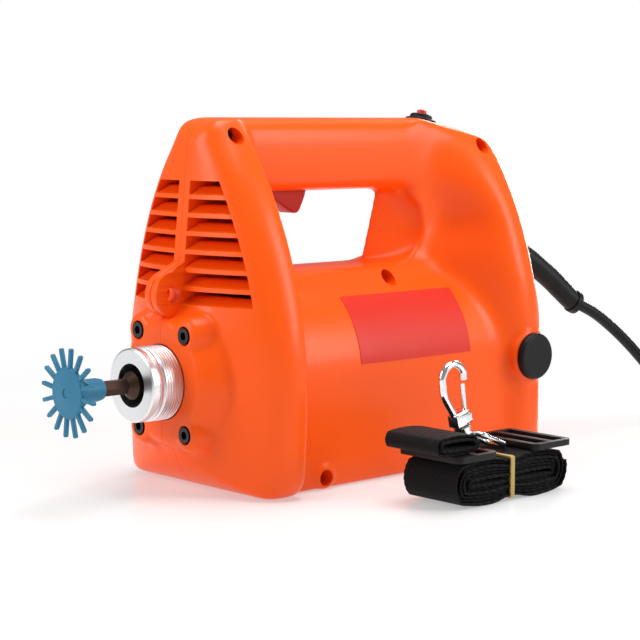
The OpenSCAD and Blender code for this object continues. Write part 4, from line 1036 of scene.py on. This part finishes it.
# %% Snap hook
HOOK_AT = Vector(joints["hook_swivel"]["pos_m"]) / MM
HOOK_TILT = math.asin(-joints["hook_swivel"]["axis"][1])
HOOK_TURN = (math.degrees(HOOK_TILT), 0, 0)


def in_hook(u, v, x=0):
    """A point of the hook's own plane: u across, v along its stem, x out of the plane."""
    return (HOOK_AT.x + x, HOOK_AT.y + u * math.cos(HOOK_TILT) - v * math.sin(HOOK_TILT),
            HOOK_AT.z + u * math.sin(HOOK_TILT) + v * math.cos(HOOK_TILT))


hook_line = [(-4.2, 13), (-5.4, 18), (-9.2, 30), (-8.6, 37)] + arc((1.2, 38), 9.6, 165, 5, 12) + [(9.8, 34.4)]
hook_path = smooth_path([in_hook(u, v) for u, v in hook_line], 0.8)
hook_wire = as_mesh(wire("hook_wire", hook_path, 2.4, sides=6))
block_outline = [(-7.2, 7.4), (7.2, 7.4), (7.4, 13.6), (4.6, 16.8), (-6.6, 16.8)]
block = prism("block", block_outline, "X", -4.4, 4.4)
for vertex in block.data.vertices:
    vertex.co = Vector(in_hook(vertex.co.y / MM, vertex.co.z / MM, vertex.co.x / MM)) * MM
add_modifier(block, "BEVEL", width=1.1 * MM, segments=3)
stem_profile = [(0, -2), (3.6, -2), (3.7, 0.2), (2.5, 0.4), (2.5, 8), (0, 8)]
stem = placed(turned("stem", stem_profile, 32), HOOK_AT, HOOK_TURN)
hook = joined("snap_hook", [hook_wire, block, stem])
smooth(hook, 40)
fit_out(hook, "hook", "hook_chrome", chrome, "hook_body")

gate_line = [in_hook(u, v) for u, v in [(5.0, 12.5), (6.2, 20), (7.4, 27), (8.2, 32.6)]]
gate = as_mesh(wire("hook_latch", smooth_path(gate_line, 1), 1.6, sides=5))
smooth(gate, 40)
fit_out(gate, "gate", "hook_chrome", chrome, "hook_gate")

slope, lift = math.radians(23), 3.7
eye_loop = [(HOOK_AT.x + a, HOOK_AT.y + b * math.cos(slope) + lift * math.sin(slope),
             HOOK_AT.z - b * math.sin(slope) + lift * math.cos(slope))
            for a, b in rounded_box(-9.2, 6, 9.2, 32.2, 5)]
eye_ring = as_mesh(wire("eye_ring", eye_loop, 1.75, sides=5, closed=True))
swivel_profile = [(2.56, 0.5), (4.8, 0.5), (5.5, 1.2), (5.5, 6.2), (4.8, 7), (2.56, 7), (2.56, 0.5)]
swivel = placed(turned("swivel", swivel_profile, 40), HOOK_AT, HOOK_TURN)
eye = joined("swivel_eye", [eye_ring, swivel])
smooth(eye, 40)
fit_out(eye, "strap", "hook_chrome", chrome, "hook_eye")
print("hook made")

# %% [markdown]
# ## Floor and light
# The machine stands on a white table with a faint reflection. Away from the machine the table
# glows evenly, so that it runs into the white backdrop. Near the machine it is lit like any other
# surface and keeps the soft shadow.

# %% Floor and backdrop
clear_selection()
bpy.ops.mesh.primitive_plane_add(size=8)
floor = bpy.context.object
floor.name = "floor"
f = Finish("white table", Roughness=0.18, IOR=1.35)
f.feed("Base Color", f.mix(f.noise(0.3, 2), (0.9, 0.9, 0.9), (0.93, 0.93, 0.93)))
distance = f.root.node("ShaderNodeVectorMath", {"operation": "LENGTH"}, {0: f.place}, out=1)
glow = distance.clipped(0.3, 0.7) * 0.62 + 0.38
lit = Wire(f.tree, f.shader.outputs[0])
white = f.root.node("ShaderNodeEmission", None, {"Color": (1, 1, 1, 1), "Strength": 1.0})
blended = f.root.node("ShaderNodeMixShader", None, {0: glow, 1: lit, 2: white})
f.tree.links.new(blended.socket, f.tree.nodes["Material Output"].inputs["Surface"])
floor.data.materials.append(f.material)

world = bpy.data.worlds.new("studio")
bpy.context.scene.world = world
world.use_nodes = True
seen = Wire(world.node_tree).node("ShaderNodeLightPath", out="Is Camera Ray")
background = world.node_tree.nodes["Background"]
background.inputs["Color"].default_value = (1, 1, 1, 1)
strength = seen * 0.72 + 0.28
world.node_tree.links.new(strength.socket, background.inputs["Strength"])
print("floor and backdrop made")

# %% [markdown]
# Three soft boxes stand left, right and above, as in a small product studio. The narrow strip
# behind the machine draws the bright line down its rear edge.

# %% Lamps
def lamp(name, where, size, power, aim=(0, 0, 0.12)):
    data = bpy.data.lights.new(name, "AREA")
    data.shape, data.size, data.size_y, data.energy = "RECTANGLE", *size, power
    made = bpy.data.objects.new(name, data)
    made.location = where
    made.rotation_euler = (Vector(aim) - Vector(where)).to_track_quat("-Z", "Y").to_euler()
    bpy.context.scene.collection.objects.link(made)
    return made


lamp("left softbox", (-0.7, -1.6, 0.9), (0.9, 1.2), 19)
lamp("right softbox", (1.6, 1.1, 0.9), (0.8, 1.2), 21)
lamp("top softbox", (0.1, 0.1, 1.7), (1.4, 1.0), 27)
lamp("rear strip", (-0.9, 1.9, 0.6), (0.3, 1.4), 28)
bpy.context.scene.view_settings.view_transform = "Standard"
print("lamps", len(bpy.data.lights))

# %% [markdown]
# ## Finish

# %% Finish
bpy.context.view_layer.update()
